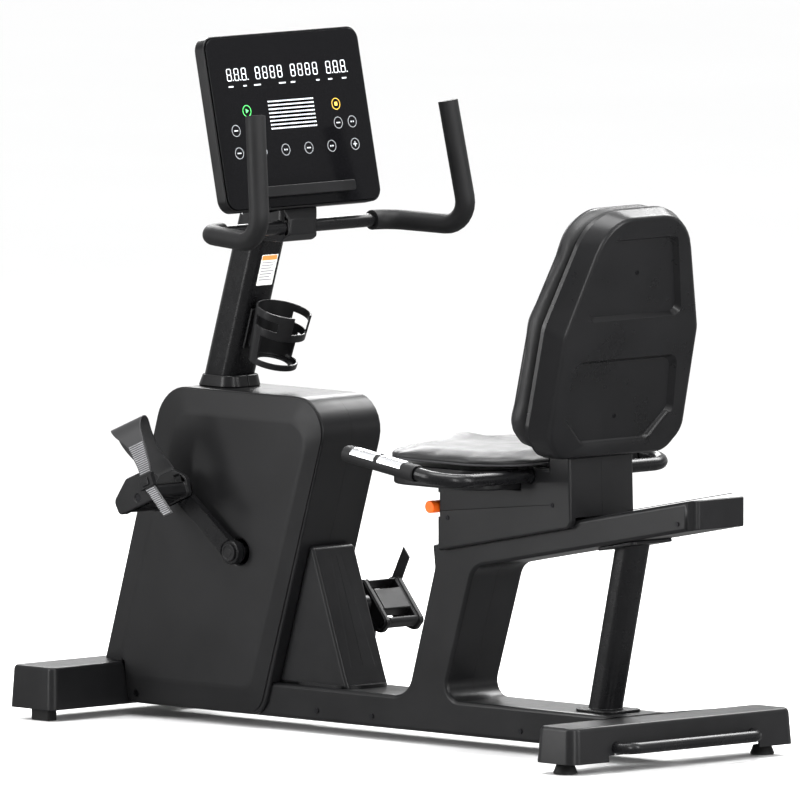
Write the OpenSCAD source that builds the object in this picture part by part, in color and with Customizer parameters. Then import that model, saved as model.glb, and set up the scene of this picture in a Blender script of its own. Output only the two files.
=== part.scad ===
// Recumbent exercise bike: welded steel frame in plastic covers, belt drive with a magnetic
// brake inside the shroud, console on a leaning mast and a seat carriage on a sloped rail.
// +Z is up. -X is the console end, +X the seat end, -Y the rider's left side.
// The origin is on the floor under the middle of the machine.

/* [Overall] */
// Smoothness of round surfaces
smooth = 48; // [24:4:96]
// Wall of the plastic covers
wall = 3; // [2:0.5:4]

/* [Stabilizers and feet] */
// Distance of the rear feet behind the origin
foot_x = 670; // [660:1:680]
// Half the distance between the rear feet
foot_y = 261.5; // [255:0.5:265]
// Length of the rear stabilizer across the bike
rear_stab_w = 594; // [590:1:596]
// Length of the front stabilizer across the bike
front_stab_w = 554; // [540:1:560]
// Diameter of a transport wheel
wheel_d = 54; // [50:1:54]

/* [Drive] */
// Length of a crank arm between its two axes
crank_len = 170; // [165:1:172]
// Angle of the left crank arm above horizontal, pointing to the console end
crank_angle = 36.8; // [30:0.1:45]
// Radius of the big belt pulley
pulley_r = 120; // [110:1:125]
// Radius of the small belt pulley on the flywheel
pinion_r = 25; // [22:1:26]
// Radius of the flywheel
flywheel_r = 122; // [110:1:124]

/* [Seat] */
// Slope of the seat rail
rail_slope = 10.6; // [10.4:0.1:10.8]
// Lean of the backrest from vertical
back_lean = 12.5; // [12:0.1:13]
// Thickness of the backrest cushion
back_pad_t = 68; // [60:1:68]
// Diameter of the handle tubes
tube_d = 25.4; // [24:0.1:26]

/* [Mast and console] */
// Lean of the mast from vertical
mast_lean = 17; // [16.5:0.1:17.5]
// Tilt of the console face from vertical
console_tilt = 12.2; // [12:0.1:12.5]
// Width of the console
console_w = 411; // [400:1:411]
// Height of the console
console_h = 336; // [330:1:336]

/* [Hidden] */
$fn = smooth;
arc_steps = 8;
gap = 0.15;

// ---- colours ----
c_cover = [0.09, 0.09, 0.10];
c_panel = [0.16, 0.16, 0.17];
c_steel = [0.13, 0.13, 0.14];
c_bare = [0.62, 0.63, 0.65];
c_rubber = [0.05, 0.05, 0.05];
c_pad = [0.07, 0.07, 0.07];
c_glass = [0.02, 0.02, 0.03];
c_orange = [1.0, 0.35, 0.04];
c_board = [0.05, 0.25, 0.12];

// ---- places ----
crank = [-377, 0, 334];
flywheel_c = [-545, 0, 246];
idler_c = [-470, 0, 200.4];
magnet_pivot = [-482, 0, 390];
belt_y = 50;
shroud_y = 77;
panel_y = 88;
cover_y = 70;
base_top = 88.5;
base_low = 23.5;
rail_end = 820;
rail_low_end = 454;
rail_h = 56.5;
rail_tan = tan(rail_slope);
mast_base = [-492, 0, 660];
console_base = [-285, 0, 990];
back_base = [530.5, 0, 565];
pedal_y = 170;
spindle_l = crank + crank_len * [-cos(crank_angle), 0, sin(crank_angle)];
spindle_r = crank - crank_len * [-cos(crank_angle), 0, sin(crank_angle)];
pedal_pitch = [22, 130];
handle_y = 299;

// ---- outlines: a corner list and a radius list, anticlockwise ----
function unit(v) = v / norm(v);
function corner_arc(a, p, b, r) =
    let (u = unit(a - p), v = unit(b - p), half = acos(u * v) / 2,
         c = p + unit(u + v) * r / sin(half),
         s = p + u * r / tan(half) - c, e = p + v * r / tan(half) - c,
         from = atan2(s.y, s.x), turn = atan2(s.x * e.y - s.y * e.x, s * e))
    [for (i = [0:arc_steps]) c + r * [cos(from + turn * i / arc_steps), sin(from + turn * i / arc_steps)]];
function rounded(pts, rs) =
    let (n = len(pts))
    [for (i = [0:n - 1])
        for (q = rs[i] > 0 ? corner_arc(pts[(i + n - 1) % n], pts[i], pts[(i + 1) % n], rs[i]) : [pts[i]]) q];
function inward(a, p, b, d) =
    let (e = unit(p - a), f = unit(b - p), m = [-e.y, e.x], n = [-f.y, f.x]) p + (m + n) * d / (1 + m * n);
function inset_pts(pts, d) =
    let (n = len(pts)) [for (i = [0:n - 1]) inward(pts[(i + n - 1) % n], pts[i], pts[(i + 1) % n], d)];
function turns_left(a, p, b) = (p.x - a.x) * (b.y - p.y) - (p.y - a.y) * (b.x - p.x) > 0;
function inset_rs(pts, rs, d) =
    let (n = len(pts))
    [for (i = [0:n - 1]) rs[i] == 0 ? 0 :
        turns_left(pts[(i + n - 1) % n], pts[i], pts[(i + 1) % n]) ? max(rs[i] - d, 0.5) : rs[i] + d];

// An outline in X and Z, made solid from y0 to y1
module slab_y(pts, y0, y1) {
    translate([0, y1, 0]) rotate([90, 0, 0]) linear_extrude(y1 - y0) polygon(pts);
}
// An outline in Y and Z, made solid from x0 to x1
module slab_x(pts, x0, x1) {
    translate([x0, 0, 0]) rotate([90, 0, 90]) linear_extrude(x1 - x0) polygon(pts);
}
// One half of a hollow moulding whose side view is an outline; side is -1 for left, 1 for right
module half_shell(pts, rs, y_out, side) {
    y0 = side > 0 ? gap : -y_out;
    y1 = side > 0 ? y_out : -gap;
    in0 = side > 0 ? -1 : -y_out + wall;
    in1 = side > 0 ? y_out - wall : 1;
    difference() {
        slab_y(rounded(pts, rs), y0, y1);
        slab_y(rounded(inset_pts(pts, wall), inset_rs(pts, rs, wall)), in0, in1);
    }
}
// A box given by its lowest and highest corners
module block(a, b) {
    translate(a) cube(b - a);
}
// A round-cornered rectangle centred on the origin
module pill(w, h, r) {
    polygon(rounded([[-w / 2, -h / 2], [w / 2, -h / 2], [w / 2, h / 2], [-w / 2, h / 2]], [r, r, r, r]));
}
// Places children with local x along u, local y along v and local z along u x v
module along(p, u, v) {
    w = cross(u, v);
    multmatrix([[u.x, v.x, w.x, p.x], [u.y, v.y, w.y, p.y], [u.z, v.z, w.z, p.z], [0, 0, 0, 1]]) children();
}
// A round bar between two points
module rod(p, q, r) {
    d = unit(q - p);
    u = unit(cross(d, abs(d.z) < 0.9 ? [0, 0, 1] : [1, 0, 0]));
    along(p, u, cross(d, u)) cylinder(h = norm(q - p), r = r);
}
// A cylinder along Y
module rod_y(x, z, y0, y1, r) {
    translate([x, y0, z]) rotate([-90, 0, 0]) cylinder(h = y1 - y0, r = r);
}
// Points of a bent bar: where each straight stretch starts and ends
function bend_cut(pts, rs, i) =
    i == 0 || i == len(pts) - 1 ? 0 : rs[i] / tan(acos(unit(pts[i - 1] - pts[i]) * unit(pts[i + 1] - pts[i])) / 2);
module bent_bar(pts, rs, r) {
    for (i = [0:len(pts) - 2]) {
        d = unit(pts[i + 1] - pts[i]);
        rod(pts[i] + d * bend_cut(pts, rs, i), pts[i + 1] - d * bend_cut(pts, rs, i + 1), r);
    }
    for (i = [1:len(pts) - 2]) {
        u = unit(pts[i - 1] - pts[i]);
        v = unit(pts[i + 1] - pts[i]);
        half = acos(u * v) / 2;
        c = pts[i] + unit(u + v) * rs[i] / sin(half);
        along(c, unit(pts[i] + u * bend_cut(pts, rs, i) - c), -u)
            rotate_extrude(angle = 180 - 2 * half) translate([rs[i], 0]) circle(r);
    }
}
// The same bar swept as one skin, for a route whose bends lie in different planes
function bend_points(a, p, b, r) =
    let (u = unit(a - p), v = unit(b - p), half = acos(u * v) / 2, c = p + unit(u + v) * r / sin(half),
         s = unit(p + u * r / tan(half) - c), turn = 180 - 2 * half)
    [for (i = [0:arc_steps]) c + r * (cos(turn * i / arc_steps) * s - sin(turn * i / arc_steps) * u)];
function route(pts, rs) =
    [for (i = [0:len(pts) - 1]) for (q = rs[i] > 0 ? bend_points(pts[i - 1], pts[i], pts[i + 1], rs[i]) : [pts[i]]) q];
module swept_bar(pts, rs, r, sides = 24) {
    path = route(pts, rs);
    last = len(path) - 1;
    heading = [for (i = [0:last]) unit(path[min(i + 1, last)] - path[max(i - 1, 0)])];
    across = [for (i = 0, n = unit(cross(heading[0], [0, 1, 0])); i <= last;
                   i = i + 1, n = i <= last ? unit(n - (n * heading[i]) * heading[i]) : n) n];
    skin = [for (i = [0:last]) for (k = [0:sides - 1])
        path[i] + r * (cos(360 * k / sides) * across[i] + sin(360 * k / sides) * cross(heading[i], across[i]))];
    walls = [for (i = [0:last - 1]) for (k = [0:sides - 1])
        let (a = i * sides + k, b = i * sides + (k + 1) % sides) [a, a + sides, b + sides, b]];
    polyhedron(skin, concat(walls, [[for (k = [0:sides - 1]) k]],
                            [[for (k = [sides - 1:-1:0]) last * sides + k]]));
}
// A square tube in the X-Z plane from p to q, with depth t across its run and width w along Y
module beam(p, q, t, w) {
    d = q - p;
    translate(p) rotate([0, -atan2(d.z, d.x), 0]) translate([0, -w / 2, -t / 2]) cube([norm(d), w, t]);
}
module mirrored(side) {
    if (side < 0) children();
    if (side > 0) mirror([0, 1, 0]) children();
}

// ---- frame outline: base, seat upright and rail in one side view ----
function rail_low(x) = rail_low_end + (x - rail_end) * rail_tan;
function upright_rear(z) = 167.5 + 0.319 * (z - 141);
window_top_x = 232.3;
FRAME = [
    [-420, base_low], [618.5, base_low], [618.5, base_top], [upright_rear(base_top), base_top],
    [window_top_x, rail_low(window_top_x)], [rail_end - 20, rail_low(rail_end - 20)],
    [rail_end - 20, rail_low(rail_end - 20) + rail_h], [122, rail_low(122) + rail_h],
    [127, 336.5], [54.5, base_top], [-420, base_top]
];
FRAME_R = [0, 0, 0, 30, 38, 0, 0, 4, 22, 47, 0];

module frame_tubes_gap() {
    // Slot along the top of the covers, where the steel rail stands
    beam([100, 0, rail_low(100) + rail_h], [rail_end + 5, 0, rail_low(rail_end + 5) + rail_h], 12, 90.6);
    // Open ends of the base
    block([-425, -cover_y + wall, base_low + wall], [-400, cover_y - wall, base_top - wall]);
    block([600, -cover_y + wall, base_low + wall], [630, cover_y - wall, base_top - wall]);
    // Foot of the brace, and the crank post
    block([-270, -30, base_top - 8], [-130, 30, base_top + 8]);
    block([-404, -27, base_top - 8], [-350, 27, base_top + 8]);
}
module frame_cover(side) {
    color(c_cover) difference() {
        half_shell(FRAME, FRAME_R, cover_y, side);
        frame_tubes_gap();
        // The rail's rear end is open to its cap
        block([rail_end - 24, -cover_y + wall, rail_low(rail_end) + 2],
              [rail_end, cover_y - wall, rail_low(rail_end) + rail_h - 8]);
        // Bolt holes for the rear post
        for (x = [post_top_x - 24, post_top_x + 24]) for (y = [-38, 38])
            translate([x, y, 300]) cylinder(h = 150, r = 4.5);
    }
}

// ---- rail ----
rail_w = 90;
rail_tube_h = 50;
module rail_place() {
    translate([110, 0, rail_low(110) + rail_h + 1.5]) rotate([0, -rail_slope, 0]) children();
}
rail_len = 689;
module seat_rail() {
    color(c_steel) rail_place() difference() {
        block([20, -rail_w / 2, -rail_tube_h], [rail_len, rail_w / 2, 0]);
        block([10, -rail_w / 2 + 4, -rail_tube_h + 4], [rail_len + 10, rail_w / 2 - 4, -4]);
        block([10, -14, -10], [rail_len + 10, 14, 5]);
    }
}
module rail_end_cap() {
    x0 = rail_end - 19.7;
    z0 = rail_low(rail_end - 20);
    plan = rounded([[x0, -cover_y], [rail_end, -cover_y + 6], [rail_end, cover_y - 6], [x0, cover_y]],
                   [0, 12, 12, 0]);
    color(c_cover) difference() {
        translate([0, 0, z0]) linear_extrude(rail_h + 2) polygon(plan);
        translate([x0, 0, z0 - 30]) rotate([0, -rail_slope, 0]) block([-5, -90, 0], [40, 90, 30 * cos(rail_slope)]);
        translate([x0, 0, z0 + rail_h]) rotate([0, -rail_slope, 0]) block([-5, -90, 0], [40, 90, 30]);
    }
}
module rail_bumper() {
    // Two rubber stops on the rail's front end, in front of the carriage
    color(c_rubber) rail_place() for (y = [-33, 33])
        translate([28, y, 0.1]) cylinder(h = 14, r = 8);
}

// ---- steel frame ----
post_low_x = 520;
post_top_x = 594;
module main_frame() {
    color(c_steel) {
        difference() {
            union() {
                // Base beam and the two cross tubes inside the stabilizer covers
                block([-745, -30, 36], [690, 30, 80]);
                block([-760, -255, 34], [-716, 255, 78]);
                block([645, -275, 34], [695, 275, 76]);
                // Crank post with the bottom bracket shell
                beam([-377, 0, 70], [-377, 0, 334], 44, 44);
                rod_y(crank.x, crank.z, -36, 36, 27);
                // Brace from the base to the crank post
                beam([-190, 0, 78], crank + [16, 0, -26], 40, 44);
                // Neck up to the mast
                beam(crank + [-14, 0, 14], mast_point(-150), 40, 44);
                translate(mast_base) rotate([0, mast_lean, 0])
                    translate([0, 0, -165]) linear_extrude(170) pill(62, 68, 16);
                // Fork plates for the flywheel axle
                for (y = [-34, 30]) slab_y(rounded([[-680, 70], [-530, 70], [flywheel_c.x + 16, flywheel_c.z],
                    [flywheel_c.x - 16, flywheel_c.z + 14], [flywheel_c.x - 40, flywheel_c.z - 30]],
                    [4, 4, 12, 12, 30]), y, y + 4);
                // Idler arm and its pin
                slab_y(rounded([[-500, 76], [-440, 76], [idler_c.x + 12, idler_c.z + 4],
                                [idler_c.x - 12, idler_c.z + 4]], [2, 2, 8, 8]), 24, 30);
                rod_y(idler_c.x, idler_c.z, 26, 64, 4);
                // Ears and pin of the magnet bracket
                for (y = [-22, 18]) slab_y(rounded([[magnet_pivot.x - 12, magnet_pivot.z - 8],
                    [magnet_pivot.x + 10, magnet_pivot.z - 10], [-400, 372], [-420, 420],
                    [magnet_pivot.x, magnet_pivot.z + 12]], [6, 6, 2, 2, 6]), y, y + 4);
                rod_y(magnet_pivot.x, magnet_pivot.z, -22, 22, 4);
                // Seat upright
                beam([116, 0, 70], [190, 0, rail_low(190) + 2], 52, 90);
            }
            rod_y(crank.x, crank.z, -40, 40, 21);
            rod_y(flywheel_c.x, flywheel_c.z, -40, 40, 6.2);
            rod_y(flywheel_c.x, flywheel_c.z, 28, 36, 10.4);
            // Insides of the beam, the cross tubes, the crank post and the seat upright
            block([-740, -27, 39], [685, 27, 77]);
            for (y = [-256, 33]) block([-757, y, 37], [-719, y + 223, 75]);
            for (y = [-276, 33]) block([648, y, 37], [692, y + 243, 73]);
            beam([-377, 0, 60], [-377, 0, 304], 38, 38);
            beam([113, 0, 60], [190, 0, rail_low(190) + 2], 46, 84);
            // The rail stands on the upright
            rail_place() block([0, -60, -rail_tube_h - 0.3], [rail_len, 60, 50]);
            // Sockets of the levelling feet
            for (y = [-foot_y, foot_y]) translate([foot_x, y, 30]) cylinder(h = 60, r = 5.05);
        }
    }
}
function mast_point(t) = mast_base + t * [sin(mast_lean), 0, cos(mast_lean)];

module rear_post() {
    lean = atan2(post_top_x - post_low_x, rail_low(post_top_x) - base_top);
    color(c_steel) difference() {
        union() {
            // Sloped oval tube
            intersection() {
                translate([post_low_x, 0, base_top]) rotate([0, lean, 0])
                    translate([-6, 0, -30]) linear_extrude(460) pill(56, 60, 22);
                slab_y([[400, base_top + 0.3], [700, base_top + 0.3], [700, rail_low(700) - 7],
                        [400, rail_low(400) - 7]], -60, 60);
            }
            // Foot flange on the base
            translate([post_low_x + 2, 0, base_top + 0.3]) linear_extrude(5) pill(104, 92, 22);
            // Plate under the rail
            translate([post_top_x, 0, rail_low(post_top_x) - 7.2]) rotate([0, -rail_slope, 0])
                linear_extrude(6.5) pill(100, 108, 10);
        }
        // Inside of the tube
        translate([post_low_x, 0, base_top]) rotate([0, lean, 0])
            translate([-6, 0, -40]) linear_extrude(342) pill(50, 54, 19);
        // Bolt holes up into the rail
        for (x = [post_top_x - 24, post_top_x + 24]) for (y = [-38, 38])
            translate([x, y, 300]) cylinder(h = 150, r = 4.3);
    }
}

// ---- brace cover behind the shroud ----
function shroud_rear(z) = -305.5 + 0.305 * (z - 88);
function shroud_front(z) = -751.3 + 0.2996 * (z - 104);
BRACE = [[shroud_rear(base_top) + 1.5, base_top + 0.3], [-118, base_top + 0.3], [-126, 110], [-211, 352],
         [shroud_rear(352) + 1.5, 352]];
module brace_cover() {
    color(c_cover) difference() {
        union() {
            slab_y(rounded(BRACE, [0, 0, 16, 10, 0]), -55, 55);
            // Low oval pad that meets the base
            translate([-190, 0, base_top + 0.3]) linear_extrude(6) pill(175, 124, 50);
        }
        slab_y(inset_pts(BRACE, wall + 1), -55 + wall, 55 - wall);
        block([-290, -51, base_top - 1], [-140, 51, base_top + 12]);
        slab_y([[-400, 0], [shroud_rear(0) + 1, 0], [shroud_rear(400) + 1, 400], [-400, 400]], -100, 100);
        beam([-190, 0, 78], crank + [16, 0, -26], 42, 46);
    }
}

// ---- stabilizers ----
// A drafted box cover: plan w by l at the bottom, shrunk by draft at the top
module drafted(w, l, h, draft, r) {
    hull() {
        linear_extrude(0.5) pill(w, l, r);
        translate([0, 0, h - 7]) linear_extrude(0.5) pill(w - 2 * draft, l - 2 * draft, r - 1);
        translate([0, 0, h - 0.5]) linear_extrude(0.5) pill(w - 2 * draft - 8, l - 2 * draft - 8, r - 5);
    }
}
module front_stabilizer_cover() {
    w = 122;
    color(c_cover) difference() {
        translate([-750, 0, 22]) drafted(w, front_stab_w, 81, 4, 16);
        translate([-750, 0, 21]) drafted(w - 2 * wall, front_stab_w - 2 * wall, 79, 4, 14);
        // Passage for the base beam
        block([-700, -34, 20], [-680, 34, 84]);
        // Pockets for the transport wheels
        for (y = [-200, 200]) block([-830, y - 16, 10], [-760, y + 16, 74]);
    }
}
notch_half = 200;
module rear_stabilizer_cover() {
    w = 106;
    color(c_cover) difference() {
        translate([672, 0, 21]) drafted(w, rear_stab_w, 68, 4, 22);
        translate([672, 0, 20]) drafted(w - 2 * wall, rear_stab_w - 2 * wall, 66, 4, 20);
        // Passage for the base and its covers
        block([610, -cover_y - 0.5, 18], [627, cover_y + 0.5, base_top + 0.3]);
        // Low notch behind, round the lift handle
        block([700, -notch_half, 10], [740, notch_half, 33]);
        for (y = [-180, 180]) translate([700, y, 46]) rotate([0, 90, 0]) cylinder(h = 40, r = 12);
    }
}
module lift_handle() {
    color(c_steel) bent_bar([[695.4, -180, 46], [752, -180, 46], [752, 180, 46], [695.4, 180, 46]],
                            [0, 28, 28, 0], 11);
}
module front_feet() {
    color(c_rubber) for (y = [-253, 253]) {
        translate([-737.5, y, 0]) linear_extrude(30) pill(49, 24, 5);
        translate([-750, y * 0.97, 26]) cylinder(h = 7.8, r = 6);
    }
}
module rear_foot(side) {
    color(c_rubber) translate([foot_x, side * foot_y, 0]) {
        cylinder(h = 4, r = 22.5);
        translate([0, 0, 4]) cylinder(h = 14, r1 = 22.5, r2 = 17);
        translate([0, 0, 18]) cylinder(h = 6, r = 8);
        translate([0, 0, 24]) cylinder(h = 46, r = 5);
    }
}
wheel_c = [-793, 200, 46];
module wheel_axles() {
    color(c_bare) for (y = [-200, 200]) difference() {
        rod_y(wheel_c.x, wheel_c.z, y - 15.5, y + 15.5, 5);
        rod_y(wheel_c.x, wheel_c.z, y - 20, y + 20, 1.5);
    }
}
module transport_wheel(side) {
    color(c_rubber) difference() {
        rod_y(wheel_c.x, wheel_c.z, side * wheel_c.y - 11, side * wheel_c.y + 11, wheel_d / 2);
        rod_y(wheel_c.x, wheel_c.z, side * wheel_c.y - 12, side * wheel_c.y + 12, 5.05);
        for (s = [-1, 1]) rod_y(wheel_c.x, wheel_c.z, side * wheel_c.y + s * 12 - 4,
                                side * wheel_c.y + s * 12 + 4, 17);
    }
}

// ---- shroud ----
SHROUD = [[-688, 25], [shroud_rear(25), 25], [shroud_rear(637), 637], [shroud_front(637), 637],
          [shroud_front(104), 104], [-688, 104]];
SHROUD_R = [6, 42, 67, 80, 2, 2];
module shroud(side) {
    color(c_cover) difference() {
        half_shell(SHROUD, SHROUD_R, shroud_y, side);
        // Base and its covers pass through the lower rear corner
        block([-440, -cover_y - 0.4, 18], [-280, cover_y + 0.4, base_top + 0.4]);
        // Base beam to the front stabilizer
        block([-700, -34, 20], [-680, 34, 84]);
        // Flywheel fork and mast
        translate(mast_base) rotate([0, mast_lean, 0]) translate([0, 0, -60]) linear_extrude(60) pill(76, 81, 22);
        beam([-190, 0, 78], crank + [16, 0, -26], 42, 46);
        rod_y(crank.x, crank.z, -90, 90, 24);
    }
}
function panel_rear(z) = -245 + 0.303 * (z - 396);
function panel_front(z) = -622 + 0.32 * (z - 352);
PANEL_FOOT = inset_pts([[-688, 27], [shroud_rear(27) - 6, 27], [shroud_rear(637), 637],
                        [shroud_front(637), 637], [shroud_front(104), 104]], 3);
PANEL_TOP = [[panel_front(75) + 40, 75], [panel_rear(75) - 10, 75], [panel_rear(590), 590],
             [panel_front(590), 590], [panel_front(120), 120]];
module side_panel(side) {
    color(c_panel) mirrored(side) difference() {
        hull() {
            slab_y(rounded(PANEL_FOOT, [20, 39, 64, 77, 10]), -shroud_y - 2.2, -shroud_y - 0.2);
            slab_y(rounded(PANEL_TOP, [20, 30, 42, 42, 20]), -panel_y, -panel_y + 1);
        }
        block([-800, -100, 0], [-687.5, 0, 104.3]);
        rod_y(crank.x, crank.z, -100, 0, 24);
        // Pocket round the lower screw
        rod_y(screw_x[0], screw_z, -100, 0, screw_r + 2.5);
    }
}

// ---- mast, collar, cup holder ----
mast_len = 318;
module mast() {
    color(c_steel) translate(mast_base) rotate([0, mast_lean, 0]) difference() {
        translate([0, 0, -50]) linear_extrude(mast_len + 50) pill(75, 80, 21);
        translate([0, 0, -51]) linear_extrude(mast_len + 52) pill(63, 69, 16.5);
    }
}
module mast_collar() {
    // Two halves round the mast, meeting on the middle plane
    color(c_cover) for (side = [-1, 1]) difference() {
        hull() {
            translate([-492, 0, 637.3]) linear_extrude(2) pill(104, 96, 30);
            translate([-490, 0, 658]) linear_extrude(2) pill(90, 88, 26);
        }
        translate(mast_base) rotate([0, mast_lean, 0]) translate([0, 0, -60]) linear_extrude(100) pill(75.6, 80.6, 21);
        block([-600, side > 0 ? -80 : -gap, 600], [-400, side > 0 ? gap : 80, 700]);
    }
}
cup_out = 102.2;
cup_low = 59.6;
cup_h = 109;
cup_r = 46.7;
cup_rim = 53.9;
cup_wall = 3.6;
cup_ring = 12;
cup_band = [60, 75];
cup_band_top = 94;
// A wedge of the cup from angle a to b, z0 to z1 high
module cup_wedge(a, b, z0, z1) {
    far = 90;
    translate([0, 0, z0]) linear_extrude(z1 - z0)
        polygon([[0, 0], far * [cos(a), sin(a)], 1.3 * far * [cos((a + b) / 2), sin((a + b) / 2)], far * [cos(b), sin(b)]]);
}
module cup_holder() {
    // A tapered cup in line with the mast: bottom ring, middle band and rim, joined by posts
    color(c_cover) translate(mast_base) rotate([0, mast_lean, 0]) translate([cup_out, 0, cup_low]) {
        difference() {
            cylinder(h = cup_h, r1 = cup_r, r2 = cup_rim);
            translate([0, 0, 4]) cylinder(h = cup_h, r1 = cup_r - cup_wall, r2 = cup_rim - cup_wall + 0.3);
            translate([0, 0, -1]) cylinder(h = 6, r = 30);
            // Open front below the middle band
            block([2, -60, cup_ring], [60, 60, cup_band[0]]);
            // Windows between the band and the rim, on both sides
            for (s = [-1, 1]) cup_wedge(s * 51, s * 112, cup_band[1], cup_band_top);
            // Slot for the handle of a mug, open at the top
            cup_wedge(-19, 38, cup_band[1], cup_h + 1);
        }
        // Bracket to the mast
        difference() {
            union() {
                block([37.8 - cup_out, -22, 8], [43 - cup_out, 22, 88]);
                block([42 - cup_out, -14, 14], [-40, 14, 76]);
            }
            cylinder(h = cup_h, r1 = cup_r - cup_wall + 1, r2 = cup_rim - cup_wall + 1);
        }
    }
}

// ---- handlebar ----
bar_x = -310;
bar_z = 951;
bar_bend = 46;
BAR = [[-160, -257, 1168], [-126, -278, 946], [bar_x, -243, bar_z]];
function flip_y(p) = [p.x, -p.y, p.z];
BAR_ALL = concat(BAR, [for (i = [2:-1:0]) flip_y(BAR[i])]);
module handlebar() {
    color(c_steel) swept_bar(BAR_ALL, [0, bar_bend, bar_bend, bar_bend, bar_bend, 0], tube_d / 2);
}
foam_r = 19;
foam_cap = 16;
foam_end = -198;
module foam(side_bar) {
    up = unit(side_bar[0] - side_bar[1]);
    bends = [0, bar_bend, bar_bend, 0];
    difference() {
        swept_bar([side_bar[0] + foam_cap * up, side_bar[1], side_bar[2], [bar_x, foam_end, bar_z]], bends, foam_r);
        swept_bar([side_bar[0] + up, side_bar[1], side_bar[2], [bar_x, foam_end + 10, bar_z]], bends,
                  tube_d / 2 + gap);
    }
}
module handlebar_grips() {
    // Foam from the top of each end round both bends
    color(c_rubber) {
        foam(BAR);
        mirror([0, 1, 0]) foam(BAR);
    }
}
clamp_half = 47;
CLAMP = [[-425, 923], [-310, 923], [-293, 938], [-293, 966], [-312, 1012], [-400, 1004]];
module clamp_cover() {
    // Cover over the clamp, with its neck up to the console
    color(c_cover) difference() {
        intersection() {
            slab_y(rounded(CLAMP, [8, 12, 8, 10, 8, 10]), -clamp_half, clamp_half);
            translate([0, 0, 900]) linear_extrude(150)
                polygon(rounded([[-430, -clamp_half], [-293, -clamp_half], [-293, clamp_half], [-430, clamp_half]],
                                [12, 20, 20, 12]));
            slab_x([[-clamp_half + 14, 900], [clamp_half - 14, 900], [clamp_half, 938], [clamp_half, 1020],
                    [-clamp_half, 1020], [-clamp_half, 938]], -440, -280);
        }
        slab_y(inset_pts(CLAMP, 4), -clamp_half + 5, clamp_half - 5);
        rod_y(bar_x, bar_z, -70, 70, tube_d / 2 + 0.3);
        translate(mast_base) rotate([0, mast_lean, 0]) linear_extrude(mast_len + 1) pill(75.6, 80.6, 21);
        translate(console_base) rotate([0, -console_tilt, 0]) block([-60, -100, -0.3], [20, 100, 80]);
    }
}

// ---- console: local x points at the rider, z up the face ----
module console_place() {
    translate(console_base) rotate([0, -console_tilt, 0]) children();
}
module rect_yz(w, z0, z1, r) {
    translate([0, (z0 + z1) / 2]) pill(w, z1 - z0, r);
}
module plate_x(w, z0, z1, r, x0, x1) {
    translate([x0, 0, 0]) rotate([90, 0, 90]) linear_extrude(x1 - x0) rect_yz(w, z0, z1, r);
}
module console_shell() {
    color(c_cover) console_place() difference() {
        hull() {
            plate_x(console_w, 0, console_h, 26, -26, -3);
            plate_x(console_w - 24, 12, console_h - 12, 22, -38, -37);
        }
        plate_x(console_w - 8, 4, console_h - 4, 22, -25, 1);
        plate_x(console_w - 34, 17, console_h - 17, 16, -34, -20);
    }
}
module console_board() {
    color(c_board) console_place() difference() {
        plate_x(330, 60, 290, 6, -16, -14.4);
        for (y = [-155, 155]) for (z = [70, 280]) translate([-20, y, z]) rotate([0, 90, 0]) cylinder(h = 10, r = 1.6);
    }
}
module console_glass() {
    color(c_glass) console_place() plate_x(console_w - 9, 4.5, console_h - 4.5, 21.5, -3, 0);
}
module console_ledge() {
    // Book rest along the bottom of the glass
    color(c_cover) console_place() {
        difference() {
            plate_x(236, 22, 42, 5, 0.1, 22);
            plate_x(226, 28, 60, 3, 4, 17);
        }
    }
}
screw_z = 44;
screw_r = 5;
screw_x = [-663, -185.5, -38, 359];
function screw_face(x) = x < -340 ? shroud_y : cover_y;
module screw_head(x, z, face, r) {
    for (s = [-1, 1]) rod_y(x, z, s > 0 ? face + 0.1 : -face - 2.1, s > 0 ? face + 2.1 : -face - 0.1, r);
}
module cover_screws() {
    color(c_bare) {
        for (x = screw_x) screw_head(x, screw_z, screw_face(x), screw_r);
        screw_head(774.6, rail_low(774.6) + 17, cover_y, 4);
    }
}

// ---- drive ----
module crank_bearings() {
    color(c_bare) for (y = [-36, 22]) difference() {
        rod_y(crank.x, crank.z, y, y + 14, 20.8);
        rod_y(crank.x, crank.z, y - 1, y + 15, 10.05);
    }
}
module crank_axle() {
    color(c_bare) rod_y(crank.x, crank.z, -97, 97, 10);
}
module drive_pulley() {
    color(c_bare) difference() {
        rod_y(crank.x, crank.z, belt_y - 9, belt_y + 9, pulley_r);
        rod_y(crank.x, crank.z, belt_y - 10, belt_y + 10, 10.02);
        for (s = [-1, 1]) rod_y(crank.x, crank.z, belt_y + s * 8 - 5, belt_y + s * 8 + 5, pulley_r - 14);
        for (a = [0:60:300]) rod_y(crank.x + 66 * cos(a), crank.z + 66 * sin(a), belt_y - 10, belt_y + 10, 20);
    }
}
module crank_arm(side) {
    tip = side < 0 ? spindle_l : spindle_r;
    y0 = side < 0 ? -114 : 98;
    color(c_cover) difference() {
        union() {
            rod_y(crank.x, crank.z, y0, y0 + 16, 23);
            rod_y(tip.x, tip.z, y0, y0 + 16, 17);
            hull() {
                rod_y(crank.x, crank.z, y0 + 1, y0 + 15, 19);
                rod_y(tip.x, tip.z, y0 + 1, y0 + 15, 15);
            }
            rod_y(crank.x, crank.z, side < 0 ? -98.5 : 90.5, side < 0 ? -90.5 : 98.5, 21);
        }
        rod_y(crank.x, crank.z, -97.1, 97.1, 10.02);
        rod_y(tip.x, tip.z, y0 - 1, y0 + 17, 7.02);
    }
}
module pedal_spindles() {
    color(c_bare) {
        rod_y(spindle_l.x, spindle_l.z, -222, -99, 7);
        rod_y(spindle_r.x, spindle_r.z, 99, 222, 7);
    }
}
module flywheel_axle() {
    color(c_bare) rod_y(flywheel_c.x, flywheel_c.z, -44, 66, 6);
}
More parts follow.
